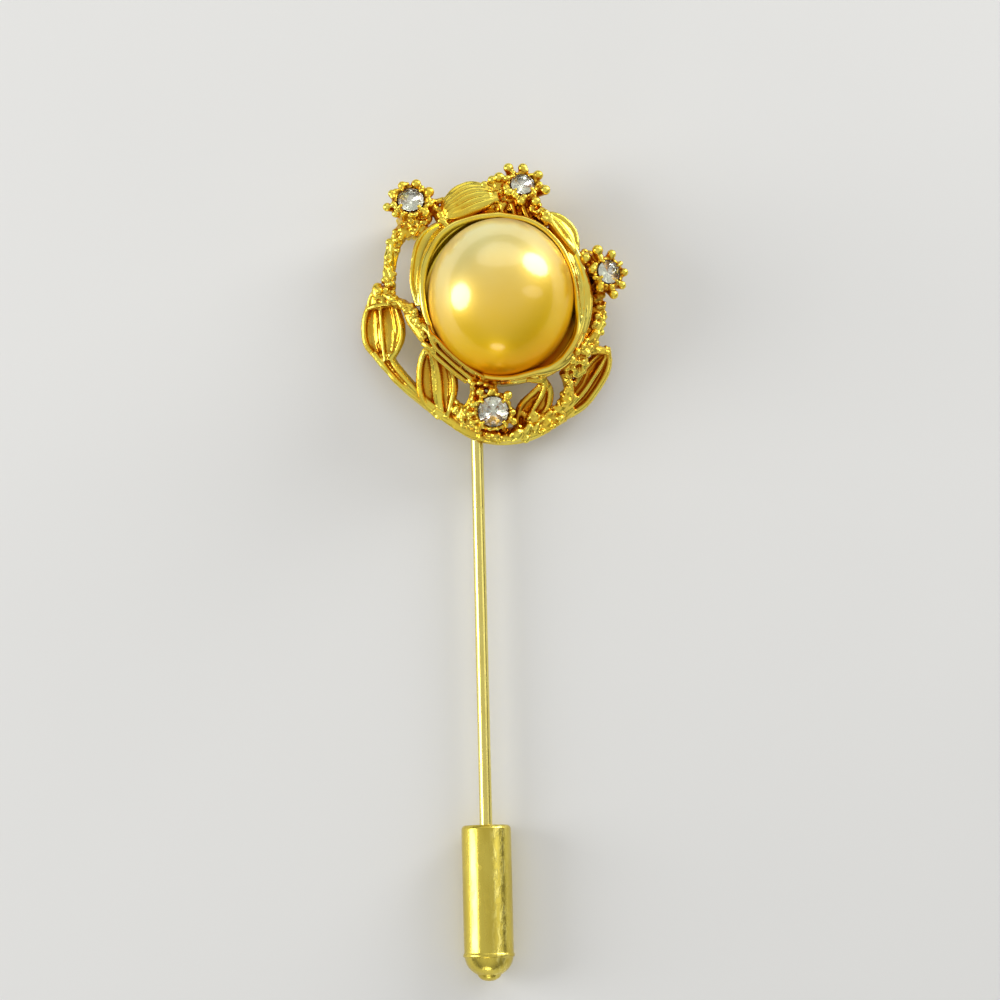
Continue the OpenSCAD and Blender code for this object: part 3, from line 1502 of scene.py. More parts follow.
@dataclass
class Stone:
    """Round-cut stone of a flower: a faceted crown over a pointed, foil-backed pavilion.

    Attributes:
        name: The CAD node that it replaces.
        flower: The flower that holds it.
        rings: Rings of corners: their number, their reach and height in parts of the stone's
            radius, and the angle of the first corner.
        depth: Depth of its point in the same parts.
        point: Radius of its point.
    """

    name: str
    flower: Flower
    rings: Sequence[Station] = ((8, 0.56, 0.4, 0.0), (8, 0.85, 0.2784, 22.5), (16, 1.05, 0.08, 11.25),
        (16, 1.05, 0.0, 11.25), (8, 0.52, -0.36, 22.5))
    depth: float = 0.72
    point: float = 0.01

    def build(self, head: Matrix) -> Object:
        """Model the stone from its rings of corners and the hull over them.

        Args:
            head: Matrix from the pearl's axis to the pin.

        Returns:
            The stone, with its crown in slot 0 and its foiled back in slot 1.
        """
        radius = self.flower.stone
        last = (3, self.point / radius, -self.depth, 0.0)
        rings = []
        for count, reach, height, first in (*self.rings, last):
            Bench.clear()
            bpy.ops.mesh.primitive_circle_add(
                vertices=count,
                radius=reach * radius,
                location=(0.0, 0.0, height * radius),
                rotation=(0.0, 0.0, math.radians(first)),
            )
            rings.append(Bench.place(bpy.context.object, Matrix.Identity(4)))
        stone = Bench.join(rings, self.name)
        Bench.edit(all_over=True)
        bpy.ops.mesh.convex_hull()
        bpy.ops.mesh.dissolve_limited(angle_limit=math.radians(1.0))
        bpy.ops.mesh.normals_make_consistent(inside=False)
        Bench.done()
        for _ in range(2):
            stone.data.materials.append(None)
        Bench.edit()
        Bench.pick_faces(lambda centre, normal: normal.z < -0.1)
        stone.active_material_index = 1
        bpy.ops.object.material_slot_assign()
        Bench.done()
        return Bench.place(stone, head @ self.flower.seat())


@dataclass
class CastPart:
    """One part of the wreath, cast in one piece from leaves, vines, flowers, threads and beads.

    Attributes:
        name: The piece's name.
        leaves: Its leaves.
        vines: Its vines.
        flower: Its flower.
        tendrils: Loose threads as rows of turn, reach, height and radius.
        beads: Beads as turn, reach, height and radius.
        grain: Distance between the points of its skin.
    """

    name: str
    leaves: Sequence[Leaf]
    vines: Sequence[Vine]
    flower: Flower
    tendrils: Sequence[Sequence[Station]]
    beads: Sequence[Station]
    grain: float = 0.075

    def build(self, head: Matrix) -> Object:
        """Model all its parts and melt them into one skin.

        Args:
            head: Matrix from the pearl's axis to the pin.

        Returns:
            The part in millimetres.
        """
        skein = Skein()
        for tendril in self.tendrils:
            skein.add_round(tendril)
        parts = [part.build() for part in (*self.leaves, *self.vines, self.flower)]
        parts.append(skein.build())
        parts += bead_copies([(polar(*row[:3]), row[3]) for row in self.beads])
        casting = Bench.join(parts, self.name)
        Bench.fuse(casting, self.grain, rounds=2, strength=0.45)
        return Bench.place(casting, head)


@dataclass
class Wreath:
    """The cast wreath in four parts, each with one flower.

    Attributes:
        flower_left: The flower at the upper left.
        flower_top: The flower at the top.
        flower_right: The flower at the right.
        flower_bottom: The flower at the bottom.
    """

    flower_left: Flower = field(
        default_factory=lambda: Flower(
            turn=132.2, reach=10.45, height=5.2, lean=17, lean_turn=88, foot=0.0, stone=1.0,
            petals=[(25, 1.62, 0.4, 0.05), (72, 1.48, 0.38, 0.0), (117, 1.45, 0.34, 0.0),
                    (158, 1.6, 0.32, 0.05), (194, 1.95, 0.34, 0.3), (221, 1.62, 0.3, 0.35),
                    (-43, 1.6, 0.33, 0.2), (-10, 1.6, 0.3, 0.15)],
            claws=40, columns=11, beads=15, bead_ring=1.40, bead_size=0.24, grains=26, seed=3,
        )
    )
    flower_top: Flower = field(
        default_factory=lambda: Flower(
            turn=77.5, reach=9.0, height=5.2, lean=22, lean_turn=77.5, foot=0.0, stone=0.9,
            petals=[(125, 1.87, 0.39, 0.0), (87, 1.55, 0.37, 0.0), (34, 1.56, 0.38, 0.0),
                    (-16, 1.86, 0.4, 0.05), (-56, 1.8, 0.38, 0.2), (-96, 1.52, 0.36, 0.2),
                    (-149, 1.36, 0.35, 0.05), (160, 1.98, 0.39, 0.05)],
            claws=50, columns=9, beads=9, bead_ring=1.30, bead_size=0.26, seed=4,
        )
    )
    flower_right: Flower = field(
        default_factory=lambda: Flower(
            turn=9.7, reach=8.78, height=5.2, lean=22, lean_turn=9.5, foot=0.0, stone=0.9,
            petals=[(118, 1.94, 0.42, 0.0), (79, 1.5, 0.35, 0.0), (2, 1.3, 0.33, 0.0),
                    (-44, 1.48, 0.33, 0.0), (-80, 1.86, 0.36, 0.0), (-120, 1.54, 0.33, 0.1),
                    (174, 1.36, 0.34, 0.1), (146, 2.05, 0.45, 0.55)],
            claws=35, columns=9, beads=9, bead_ring=1.30, bead_size=0.26, seed=5,
        )
    )
    flower_bottom: Flower = field(
        default_factory=lambda: Flower(
            turn=265, reach=9.55, height=5.0, lean=15, lean_turn=265, foot=2.35, stone=1.15,
            petals=[(47, 1.74, 0.35, 0.0), (92, 1.62, 0.3, 0.1), (122, 1.85, 0.33, 0.15),
                    (160, 1.66, 0.28, 0.1), (186, 1.85, 0.29, 0.2), (208, 1.85, 0.3, 0.25),
                    (226, 1.8, 0.27, 0.3), (-4, 1.52, 0.27, 0.15), (-28, 1.78, 0.29, 0.25)],
            claws=45, columns=8, beads=14, bead_ring=1.42, bead_size=0.19, seed=6,
        )
    )

    def flowers(self) -> dict[str, Flower]:
        """The flowers by the CAD node of the stone that each holds.

        Returns:
            The flowers, from the left one round to the lower one.
        """
        return {
            "crystal_left": self.flower_left,
            "crystal_top": self.flower_top,
            "crystal_right": self.flower_right,
            "crystal_bottom": self.flower_bottom,
        }

    def left(self) -> CastPart:
        """The left flower, the bark-like vine below it, the broad leaf and the stem under it.

        Returns:
            The part, ready to be built.
        """
        broad = Leaf(
            first=[(-9.92, 1.31, 2.75), (-10.44, 0.68, 2.5), (-10.85, -0.14, 2.31), (-11.22, -1.12, 2.17),
                   (-11.34, -2.19, 2.03), (-11.2, -3.34, 1.89), (-10.68, -4.11, 1.8), (-9.95, -4.75, 1.9)],
            second=[(-9.55, 1.26, 2.95), (-9.0, 0.62, 3.05), (-8.55, -0.05, 3.1), (-8.12, -0.95, 3.05),
                    (-7.86, -2.0, 3.0), (-7.88, -3.0, 2.9), (-8.3, -3.95, 2.75), (-8.85, -4.8, 2.55)],
            ribs=[(-0.03, 0.02, 1.0, 0.18), (-0.19, 0.52, 1.0, 0.13), (-0.34, 0.72, 0.92, 0.1),
                  (0.57, 0.15, 0.66, 0.13), (0.45, 0.6, 0.86, 0.11), (-0.68, 0.22, 0.8, 0.08)],
            cup=0.46, rim=0.23, seed=11,
        )
        hood = Leaf(
            first=[(-9.98, 1.22, 2.9), (-10.4, 0.68, 2.75), (-10.7, 0.05, 2.65), (-10.82, -0.6, 2.5)],
            second=[(-9.58, 1.18, 3.05), (-9.1, 0.65, 3.2), (-8.68, 0.15, 3.25), (-8.25, -0.35, 3.25)],
            ribs=[(-0.3, 0.1, 0.98, 0.12), (0.22, 0.15, 0.98, 0.15)],
            cup=0.0, crown=0.30, folded=False, rim=0.15, thick=0.45, seed=17,
        )
        bark = Vine(
            [(135, 9.65, 3.5, 0.62), (143, 9.55, 3.5, 0.7), (150, 9.55, 3.4, 0.66), (157, 9.45, 3.3, 0.6),
             (164, 9.25, 3.2, 0.58), (171, 9.0, 3.1, 0.58), (177, 8.9, 3.1, 0.55)],
            strands=4, twists=0.45, share=0.42, knots=0.28, core=0.70, grains=12, grain=0.28,
            seed=21,
        )
        nest = Vine(
            [(131, 9.3, 4.0, 0.5), (136, 9.35, 3.8, 0.62), (141, 9.3, 3.7, 0.62), (146, 9.25, 3.6, 0.5)],
            core=0.95, grains=20, grain=0.28, seed=24,
        )
        netting = Vine(
            [(129, 8.95, 4.2, 0.46), (133, 8.75, 4.1, 0.6), (138, 8.6, 4.0, 0.62), (143, 8.62, 3.8, 0.5)],
            core=0.95, grains=24, grain=0.27, seed=28,
        )
        link = Vine(
            [(175, 9.75, 3.2, 0.58), (180, 8.65, 3.4, 0.56), (184, 7.75, 3.8, 0.56), (190, 7.15, 4.2, 0.52),
             (198, 6.9, 4.6, 0.48), (207, 6.65, 4.9, 0.4)],
            strands=3, twists=1.4, knots=0.4, core=0.72, grains=18, grain=0.26, seed=22,
        )
        stem = Leaf(
            first=[(-10.62, -4.0, 1.85), (-10.1, -4.75, 1.95), (-9.46, -5.62, 2.1), (-8.82, -6.43, 2.2),
                   (-7.95, -7.29, 2.25), (-6.95, -8.15, 2.3), (-6.0, -8.95, 2.35), (-5.1, -9.75, 2.4)],
            second=[(-8.75, -4.2, 2.3), (-8.55, -5.0, 2.5), (-8.05, -5.7, 2.5), (-7.5, -6.35, 2.5),
                    (-6.85, -7.05, 2.5), (-6.1, -7.8, 2.5), (-5.3, -8.5, 2.5), (-4.5, -9.2, 2.5)],
            ribs=[(0.15, 0.1, 0.9, 0.12)], cup=0.22, folded=False, rim=0.27,
            thick=0.5, seed=23,
        )
        return CastPart(
            name="wreath_left",
            leaves=[broad, hood, stem],
            vines=[bark, nest, netting, link],
            flower=self.flower_left,
            tendrils=[
                # the folded knob at the broad leaf's tip and the lower edge of its hood
                [(172.3, 10.0, 2.95, 0.34), (174.3, 9.93, 3.1, 0.5), (177, 9.88, 3.15, 0.46),
                 (179.5, 9.75, 3.2, 0.32)],
                [(183.2, 10.72, 2.75, 0.16), (182.4, 10.1, 3.08, 0.18), (182, 9.4, 3.25, 0.18),
                 (182, 8.75, 3.35, 0.18), (182.1, 8.3, 3.3, 0.16)],
                # the web from the link down to the second leaf
                [(188, 7.5, 3.9, 0.4), (193, 7.45, 4.0, 0.45), (200, 7.22, 4.15, 0.46),
                 (207, 7.1, 4.25, 0.42), (214, 7.05, 4.3, 0.34)],
                [(190, 7.0, 4.3, 0.42), (200, 6.9, 4.4, 0.42), (210, 6.8, 4.5, 0.38)],
            ],
            beads=[(176, 9.75, 3.75, 0.32), (180.5, 8.6, 4.0, 0.3), (185, 7.9, 4.25, 0.28),
                   (190.5, 6.95, 4.8, 0.3), (196.5, 6.95, 4.95, 0.29), (203, 6.65, 5.1, 0.25),
                   (147, 9.95, 4.0, 0.27), (150, 9.5, 3.95, 0.25), (140, 9.1, 4.2, 0.32),
                   (144, 9.2, 4.1, 0.28)],
        )

    def bottom(self) -> CastPart:
        """The orange leaf, the double vine over the pearl's edge, the lower flower and the rim.

        Returns:
            The part, ready to be built.
        """
        orange = Leaf(
            first=[(-5.95, -4.1, 4.6), (-6.43, -4.5, 4.1), (-6.76, -5.13, 3.7), (-6.92, -6.08, 3.3),
                   (-6.95, -6.95, 2.95), (-6.8, -7.91, 2.6), (-6.25, -8.8, 2.3), (-5.4, -9.5, 2.3)],
            second=[(-5.68, -4.05, 4.8), (-5.0, -4.5, 4.6), (-4.34, -5.19, 4.4), (-3.88, -6.0, 4.1),
                    (-3.7, -6.96, 3.8), (-3.8, -7.83, 3.5), (-4.05, -8.7, 3.1), (-4.3, -9.6, 2.8)],
            ribs=[(-0.16, 0.06, 1.0, 0.19), (0.16, 0.2, 1.0, 0.18), (0.62, 0.12, 0.92, 0.13)],
            cup=0.50, rim=0.25, seed=12,
        )
        small = Leaf(
            first=[(3.25, -6.95, 4.2), (2.65, -7.55, 4.0), (2.03, -8.08, 3.8), (1.35, -8.65, 3.6),
                   (0.95, -9.4, 3.3), (0.8, -10.2, 3.0), (0.95, -10.85, 2.8)],
            second=[(3.5, -6.98, 4.15), (3.88, -7.62, 3.9), (3.95, -8.31, 3.6), (3.77, -9.04, 3.3),
                    (3.3, -9.68, 3.0), (2.6, -10.3, 2.8), (1.75, -10.85, 2.7)],
            ribs=[(0.0, 0.02, 0.98, 0.2), (0.5, 0.15, 0.8, 0.13)],
            veins=1, cup=0.42, rim=0.25, seed=13,
        )
        edge = Vine(
            [(238, 10.45, 2.4, 0.46), (244, 10.5, 2.45, 0.5), (250, 10.75, 2.5, 0.54),
             (256, 11.0, 2.6, 0.58), (262, 11.15, 2.65, 0.6), (268, 11.2, 2.7, 0.62)],
            strands=2, twists=0.0, share=0.38, knots=0.10, core=0.72, start=0.03, seed=25,
        )
        rim = Vine(
            [(258, 10.95, 2.65, 0.52), (264, 11.08, 2.7, 0.66), (270, 11.12, 2.75, 0.72),
             (276, 11.1, 2.75, 0.72), (283, 11.0, 2.7, 0.68), (290, 10.9, 2.6, 0.6),
             (297, 10.85, 2.4, 0.5)],
            strands=2, twists=0.1, share=0.36, knots=0.12, core=0.80, start=0.02,
            grains=17, grain=0.36, seed=27,
        )
        filling = Vine(
            [(246, 9.5, 2.8, 0.5), (251, 9.95, 2.8, 0.66), (256, 10.3, 2.8, 0.66), (263, 10.6, 2.7, 0.55)],
            core=0.95, grains=20, grain=0.26, seed=41,
        )
        strap = Vine(
            [(249, 7.15, 4.5, 0.42), (253, 7.6, 4.4, 0.48), (254, 8.3, 4.0, 0.48), (253.5, 9.0, 3.5, 0.52),
             (252, 9.7, 3.1, 0.6)],
            grains=24, grain=0.25, seed=42,
        )
        saddle = Vine(
            [(252, 7.2, 4.4, 0.4), (259, 7.35, 4.5, 0.46), (266, 7.45, 4.4, 0.46)],
            grains=10, grain=0.24, seed=43,
        )
        footing = Vine(
            [(279, 9.9, 2.8, 0.46), (284, 10.2, 2.8, 0.55), (289, 10.35, 2.75, 0.58),
             (294, 10.25, 2.7, 0.5)],
            core=0.95, grains=14, grain=0.26, seed=44,
        )
        return CastPart(
            name="wreath_bottom",
            leaves=[orange, small],
            vines=[edge, rim, filling, strap, saddle, footing],
            flower=self.flower_bottom,
            tendrils=[
                # the strands that cross the pearl's edge
                [(200, 6.75, 5.0, 0.2), (207, 6.6, 5.3, 0.21), (215, 6.34, 5.45, 0.2),
                 (227, 6.3, 5.5, 0.19), (239, 6.44, 5.4, 0.2), (250, 6.68, 5.2, 0.21),
                 (259, 6.92, 4.9, 0.2)],
                [(203, 6.38, 5.15, 0.2), (209, 6.55, 5.45, 0.21), (217, 6.76, 5.2, 0.2),
                 (228, 6.76, 5.1, 0.2), (237, 6.86, 5.05, 0.21), (245, 7.05, 4.95, 0.23),
                 (252, 7.36, 4.7, 0.24)],
                [(209, 7.05, 4.4, 0.3), (220, 7.12, 4.45, 0.3), (230, 7.12, 4.45, 0.28),
                 (240, 7.25, 4.35, 0.3), (248, 7.45, 4.2, 0.3)],
                # the leaf's own neck
                [(211, 7.3, 4.5, 0.32), (215, 7.15, 4.7, 0.28), (221, 6.9, 4.7, 0.24)],
                # small leaf to ring
                [(295, 7.1, 4.4, 0.44), (294.5, 7.6, 4.1, 0.42)],
                [(285, 7.15, 4.6, 0.26), (291, 7.45, 4.35, 0.3), (295, 7.8, 4.1, 0.24)],
                # the rim's lower lip
                [(247, 10.75, 2.2, 0.26), (255, 11.25, 2.3, 0.28), (264, 11.55, 2.4, 0.28),
                 (272, 11.6, 2.45, 0.28), (280, 11.5, 2.4, 0.28), (289, 11.2, 2.2, 0.26)],
            ],
            beads=[(275, 11.15, 3.3, 0.62), (270, 11.35, 3.25, 0.42), (266.5, 11.2, 3.3, 0.42),
                   (263.5, 11.1, 3.25, 0.34), (260, 10.95, 3.15, 0.3), (279, 11.0, 3.25, 0.38),
                   (283, 11.0, 3.15, 0.32), (288, 10.9, 3.0, 0.28), (252, 7.6, 5.0, 0.27),
                   (256, 7.4, 5.0, 0.28), (260, 7.5, 4.95, 0.27), (295, 7.25, 4.7, 0.32),
                   (284, 9.75, 3.2, 0.24)],
        )

    def right(self) -> CastPart:
        """The right flower, the beaded vine below it and the long hooked leaf.

        Returns:
            The part, ready to be built.
        """
        hooked = Leaf(
            first=[(8.55, -4.12, 2.2), (8.88, -4.9, 2.0), (8.74, -5.94, 1.9), (8.25, -6.94, 1.9),
                   (7.52, -8.01, 1.9), (6.8, -8.85, 1.9), (5.9, -9.5, 2.0), (4.92, -9.98, 2.2),
                   (3.9, -10.4, 2.4)],
            second=[(8.35, -4.12, 2.5), (7.73, -4.6, 2.75), (7.05, -5.15, 2.95), (6.45, -5.84, 3.1),
                    (5.95, -6.62, 3.15), (5.45, -7.31, 3.15), (4.87, -8.09, 3.1), (4.35, -8.8, 3.05),
                    (3.85, -9.6, 2.9)],
            ribs=[(0.0, 0.14, 0.98, 0.22), (0.48, 0.4, 0.98, 0.18)],
            veins=1, cup=0.42, rim=0.27, seed=14,
        )
        beaded = Vine(
            [(13, 7.3, 3.9, 0.56), (4, 7.5, 3.7, 0.62), (-4, 7.72, 3.6, 0.66), (-11, 7.9, 3.6, 0.7),
             (-18, 8.0, 3.6, 0.72), (-26, 7.98, 3.6, 0.72), (-34, 7.9, 3.7, 0.7), (-42, 7.85, 3.8, 0.66),
             (-50, 7.8, 3.9, 0.56)],
            strands=3, twists=0.9, share=0.42, knots=0.35, core=0.78, grains=46, grain=0.27,
            seed=26,
        )
        knuckle = Vine(
            [(-52, 7.9, 3.9, 0.5), (-53, 8.6, 3.3, 0.52), (-55, 9.2, 3.0, 0.54), (-59, 9.7, 2.9, 0.54),
             (-64, 10.1, 2.8, 0.52), (-70, 10.4, 2.6, 0.46)],
            grains=22, grain=0.26, seed=45,
        )
        hook = Vine(
            [(-33, 8.3, 3.6, 0.46), (-30, 8.9, 3.1, 0.4), (-28.5, 9.4, 2.6, 0.3)],
            core=1.0, grains=5, grain=0.2, seed=46,
        )
        cluster = Vine(
            [(-38, 8.2, 3.5, 0.52), (-43, 8.5, 3.3, 0.56), (-49, 8.5, 3.3, 0.56)],
            core=0.95, grains=16, grain=0.27, seed=48,
        )
        hold = Vine(
            [(27, 7.2, 4.2, 0.46), (22, 7.5, 4.2, 0.56), (15, 7.7, 4.1, 0.62)],
            grains=12, grain=0.28, seed=47,
        )
        return CastPart(
            name="wreath_right",
            leaves=[hooked],
            vines=[beaded, knuckle, hook, cluster, hold],
            flower=self.flower_right,
            tendrils=[
                [(-66, 10.3, 2.6, 0.44), (-60, 10.1, 2.6, 0.42), (-54, 9.9, 2.6, 0.34)],
                [(-72, 10.7, 2.4, 0.46), (-65, 10.7, 2.3, 0.46), (-58, 10.5, 2.2, 0.36)],
            ],
            beads=[(-44.7, 7.75, 4.6, 0.4), (-39, 7.65, 4.65, 0.34), (-44, 7.3, 4.9, 0.28),
                   (-34, 7.75, 4.5, 0.3), (-36, 8.35, 4.2, 0.32), (-41, 8.45, 4.1, 0.3),
                   (-32, 8.3, 4.1, 0.3), (-50, 7.9, 4.4, 0.32), (-47, 8.5, 3.8, 0.27)],
        )

    def top(self) -> CastPart:
        """The ribbed leaf that wraps the ring, the top flower and the small leaf beside it.

        Returns:
            The part, ready to be built.
        """
        ribbed = Leaf(
            first=[(-4.3, 6.3, 4.7), (-4.52, 7.4, 4.45), (-3.95, 8.4, 4.35), (-2.98, 9.1, 4.3),
                   (-1.94, 9.2, 4.27), (-1.0, 8.75, 4.25), (-0.25, 8.0, 4.3)],
            second=[(-4.15, 6.1, 4.9), (-3.72, 6.0, 5.05), (-2.85, 6.12, 5.15), (-1.9, 6.5, 5.15),
                    (-1.1, 6.82, 5.1), (-0.5, 7.15, 5.0), (0.0, 7.6, 4.8)],
            ribs=[(-0.6, 0.06, 0.95, 0.19), (-0.3, 0.03, 0.97, 0.21), (0.02, 0.03, 0.97, 0.22),
                  (0.34, 0.03, 0.97, 0.21), (0.64, 0.03, 0.97, 0.19)],
            cup=0.10, crown=0.38, folded=False, rim=0.25, raised=0.12, seed=15,
        )
        glossy = Leaf(
            first=[(4.0, 6.45, 4.75), (4.84, 6.32, 4.6), (5.62, 5.76, 4.5), (6.1, 5.09, 4.45),
                   (6.25, 4.32, 4.45), (6.18, 3.55, 4.5), (5.95, 2.9, 4.6)],
            second=[(3.85, 6.3, 4.85), (3.92, 5.6, 5.0), (4.28, 4.95, 5.1), (4.75, 4.3, 5.1),
                    (5.22, 3.7, 5.1), (5.6, 3.15, 5.05), (5.85, 2.8, 4.9)],
            ribs=[(0.22, 0.05, 0.95, 0.18)],
            cup=0.10, crown=0.40, folded=False, rim=0.22, seed=16,
        )
        crest = Vine(
            [(101, 8.0, 4.2, 0.52), (96, 8.25, 4.3, 0.62), (90, 8.4, 4.3, 0.7), (84, 8.3, 4.2, 0.66)],
            grains=20, grain=0.30, seed=51,
        )
        saddle = Vine(
            [(101, 7.2, 4.4, 0.52), (93, 7.45, 4.4, 0.62), (85, 7.35, 4.3, 0.6), (77, 7.1, 4.2, 0.52)],
            grains=18, grain=0.30, seed=52,
        )
        shoulder = Vine(
            [(72, 7.7, 4.4, 0.5), (65, 7.35, 4.5, 0.54), (59, 7.1, 4.6, 0.52), (54, 6.9, 4.7, 0.48)],
            grains=16, grain=0.29, seed=53,
        )
        neck = Vine(
            [(128, 9.4, 4.3, 0.46), (126, 8.7, 4.4, 0.54), (126, 7.9, 4.5, 0.6), (127, 7.2, 4.6, 0.52)],
            grains=20, grain=0.28, seed=54,
        )
        return CastPart(
            name="wreath_top",
            leaves=[ribbed, glossy],
            vines=[crest, saddle, shoulder, neck],
            flower=self.flower_top,
            tendrils=[
                # the hollow under the flower and its upright ridges
                [(96, 6.75, 4.3, 0.46), (82, 6.75, 4.2, 0.44), (70, 6.75, 4.25, 0.46),
                 (58, 6.8, 4.4, 0.46)],
                [(82, 7.4, 4.8, 0.22), (80, 6.85, 4.8, 0.22), (79, 6.35, 5.0, 0.2)],
                [(75, 7.4, 4.8, 0.22), (72, 6.85, 4.8, 0.22), (68, 6.35, 5.0, 0.2)],
                [(89, 7.4, 4.8, 0.2), (88, 6.85, 4.8, 0.2), (87, 6.4, 5.0, 0.18)],
                # the web between the ribbed leaf and the ring
                [(133, 7.1, 4.4, 0.34), (122, 7.0, 4.6, 0.36), (112, 6.9, 4.62, 0.36),
                 (102, 6.85, 4.6, 0.36), (93, 6.8, 4.5, 0.34)],
                # thin strand from the left flower to the ribbed leaf
                [(126, 9.6, 4.5, 0.26), (123, 9.15, 4.5, 0.26), (119, 9.0, 4.4, 0.26)],
                [(120, 8.0, 4.5, 0.44), (118, 7.4, 4.6, 0.42)],
                # glossy leaf to the ring
                [(44, 6.5, 4.6, 0.34), (35, 6.6, 4.5, 0.36), (27, 6.7, 4.5, 0.36)],
            ],
            beads=[(125, 9.3, 4.8, 0.3), (126, 8.1, 5.0, 0.28), (128, 7.6, 5.05, 0.28),
                   (93, 9.3, 4.8, 0.36), (97, 9.0, 4.7, 0.32), (60, 7.4, 5.05, 0.32),
                   (65, 7.2, 5.05, 0.27)],
        )

    def parts(self) -> list[CastPart]:
        """All parts of the wreath."""
        return [self.left(), self.bottom(), self.right(), self.top()]


@dataclass
class Bezel:
    """The smooth metal round the pearl: an oval ring and the bands outside it.

    Attributes:
        ring: Turn, reach, height and radius of the ring, once round.
        bands: Further smooth bands, in the same numbers.
        grain: Distance between the points of its skin.
    """

    ring: Sequence[Station] = ((90, 6.38, 5.02, 0.27), (110, 6.5, 5.02, 0.28), (130, 6.76, 5.02, 0.3),
        (148, 6.58, 5.05, 0.31), (166, 6.36, 5.08, 0.31), (184, 6.22, 5.08, 0.29), (203, 6.24, 4.9, 0.28),
        (225, 6.42, 4.7, 0.28), (248, 6.68, 4.78, 0.28), (270, 6.86, 4.98, 0.28), (290, 6.9, 5.05, 0.29),
        (305, 7.24, 5.1, 0.32), (318, 7.16, 5.1, 0.28), (333, 6.84, 5.1, 0.26), (350, 6.14, 5.1, 0.24),
        (367, 5.98, 5.1, 0.22), (384, 5.98, 5.1, 0.22), (402, 6.12, 5.08, 0.24), (425, 6.3, 5.04, 0.26),
        (450, 6.38, 5.02, 0.27))
    bands: Sequence[Sequence[Station]] = (
        ((40, 7.00, 4.86, 0.22), (32, 6.93, 4.9, 0.27), (22, 6.84, 4.9, 0.28), (12, 6.86, 4.9, 0.28),
         (2, 6.98, 4.88, 0.29), (-8, 7.1, 4.84, 0.29), (-18, 7.2, 4.74, 0.28), (-27, 7.32, 4.56, 0.24)),
        ((44, 6.6, 4.5, 0.3), (25, 6.52, 4.45, 0.32), (6, 6.55, 4.4, 0.34), (-12, 6.85, 4.35, 0.36),
         (-28, 7.2, 4.3, 0.36), (-42, 7.4, 4.4, 0.36), (-58, 7.32, 4.4, 0.36), (-75, 7.1, 4.4, 0.32),
         (-92, 7.05, 4.4, 0.28)),
        ((-68, 7.06, 5.00, 0.24), (-60, 7.24, 4.98, 0.34), (-53, 7.42, 4.92, 0.4), (-47, 7.48, 4.8, 0.36),
         (-41, 7.45, 4.6, 0.26)),
        ((162, 6.42, 4.64, 0.24), (150, 6.56, 4.6, 0.27), (140, 6.66, 4.58, 0.29), (130, 6.72, 4.58, 0.29),
         (120, 6.66, 4.6, 0.28), (108, 6.52, 4.64, 0.24)),
        ((30, 6.66, 4.74, 0.2), (18, 6.62, 4.76, 0.22), (6, 6.68, 4.76, 0.24), (-5, 6.8, 4.76, 0.24),
         (-15, 6.98, 4.72, 0.24), (-24, 7.14, 4.62, 0.22)),
    )
    grain: float = 0.065

    def left_ribbon(self) -> Leaf:
        """The broad smooth ribbon between the ring and the crescent opening.

        Returns:
            The ribbon, ready to be built.
        """
        lip = [(186, 6.85, 4.5), (180, 7.06, 4.42), (174, 7.3, 4.38), (168, 7.47, 4.36), (160, 7.66, 4.36),
               (152, 7.92, 4.38), (144, 8.14, 4.42), (136, 8.05, 4.5), (128, 7.7, 4.6)]
        inner = [(188, 6.45, 4.8), (181, 6.45, 4.85), (173, 6.45, 4.9), (166, 6.5, 4.9), (158, 6.6, 4.9),
                 (150, 6.7, 4.9), (142, 6.82, 4.9), (134, 6.92, 4.9), (126, 6.95, 4.85)]
        return self.strip(lip, inner, rim=0.17, cup=0.22)

    def right_band(self) -> Leaf:
        """The broad smooth band along the pearl's right side.

        Returns:
            The band, ready to be built.
        """
        outer = [(54, 6.98, 4.7), (44, 6.96, 4.72), (33, 6.84, 4.72), (22, 6.76, 4.72), (11, 6.75, 4.74),
                 (0, 6.82, 4.76), (-11, 6.92, 4.82), (-22, 7.06, 4.9), (-33, 7.26, 4.95),
                 (-44, 7.46, 4.95), (-54, 7.54, 4.85)]
        inner = [(54, 6.2, 4.95), (44, 6.02, 5.05), (33, 5.86, 5.1), (22, 5.78, 5.1), (11, 5.76, 5.1),
                 (0, 5.82, 5.1), (-11, 6.03, 5.1), (-22, 6.4, 5.1), (-33, 6.74, 5.1), (-44, 6.96, 5.1),
                 (-54, 7.06, 5.05)]
        return self.strip(outer, inner, rim=0.16, crown=0.22)

    @staticmethod
    def strip(
        outer: Sequence[Point], inner: Sequence[Point], rim: float, cup: float = 0.0, crown: float = 0.0
    ) -> Leaf:
        """Smooth strip between two lines round the pearl.

        Args:
            outer: Turn, reach and height along the outer line.
            inner: The same along the inner line.
            rim: Radius of its rim.
            cup: Depth of its hollow.
            crown: Height of its bulge.

        Returns:
            The strip, ready to be built.
        """
        first = [tuple(polar(*row)) for row in outer]
        second = [tuple(polar(*row)) for row in inner]
        return Leaf(first, second, cup=cup, crown=crown, folded=False, rim=rim)

    def build(self, head: Matrix) -> Object:
        """Model the ring, the bands and the ribbon as one smooth casting.

        Args:
            head: Matrix from the pearl's axis to the pin.

        Returns:
            The casting.
        """
        threads = Skein()
        threads.add_round(self.ring)
        for rows in self.bands:
            threads.add_round(rows)
        strips = [self.left_ribbon().build(), self.right_band().build()]
        band = Bench.join([threads.build(fineness=4), *strips], "bezel")
        Bench.fuse(band, self.grain, rounds=6)
        return Bench.place(band, head)


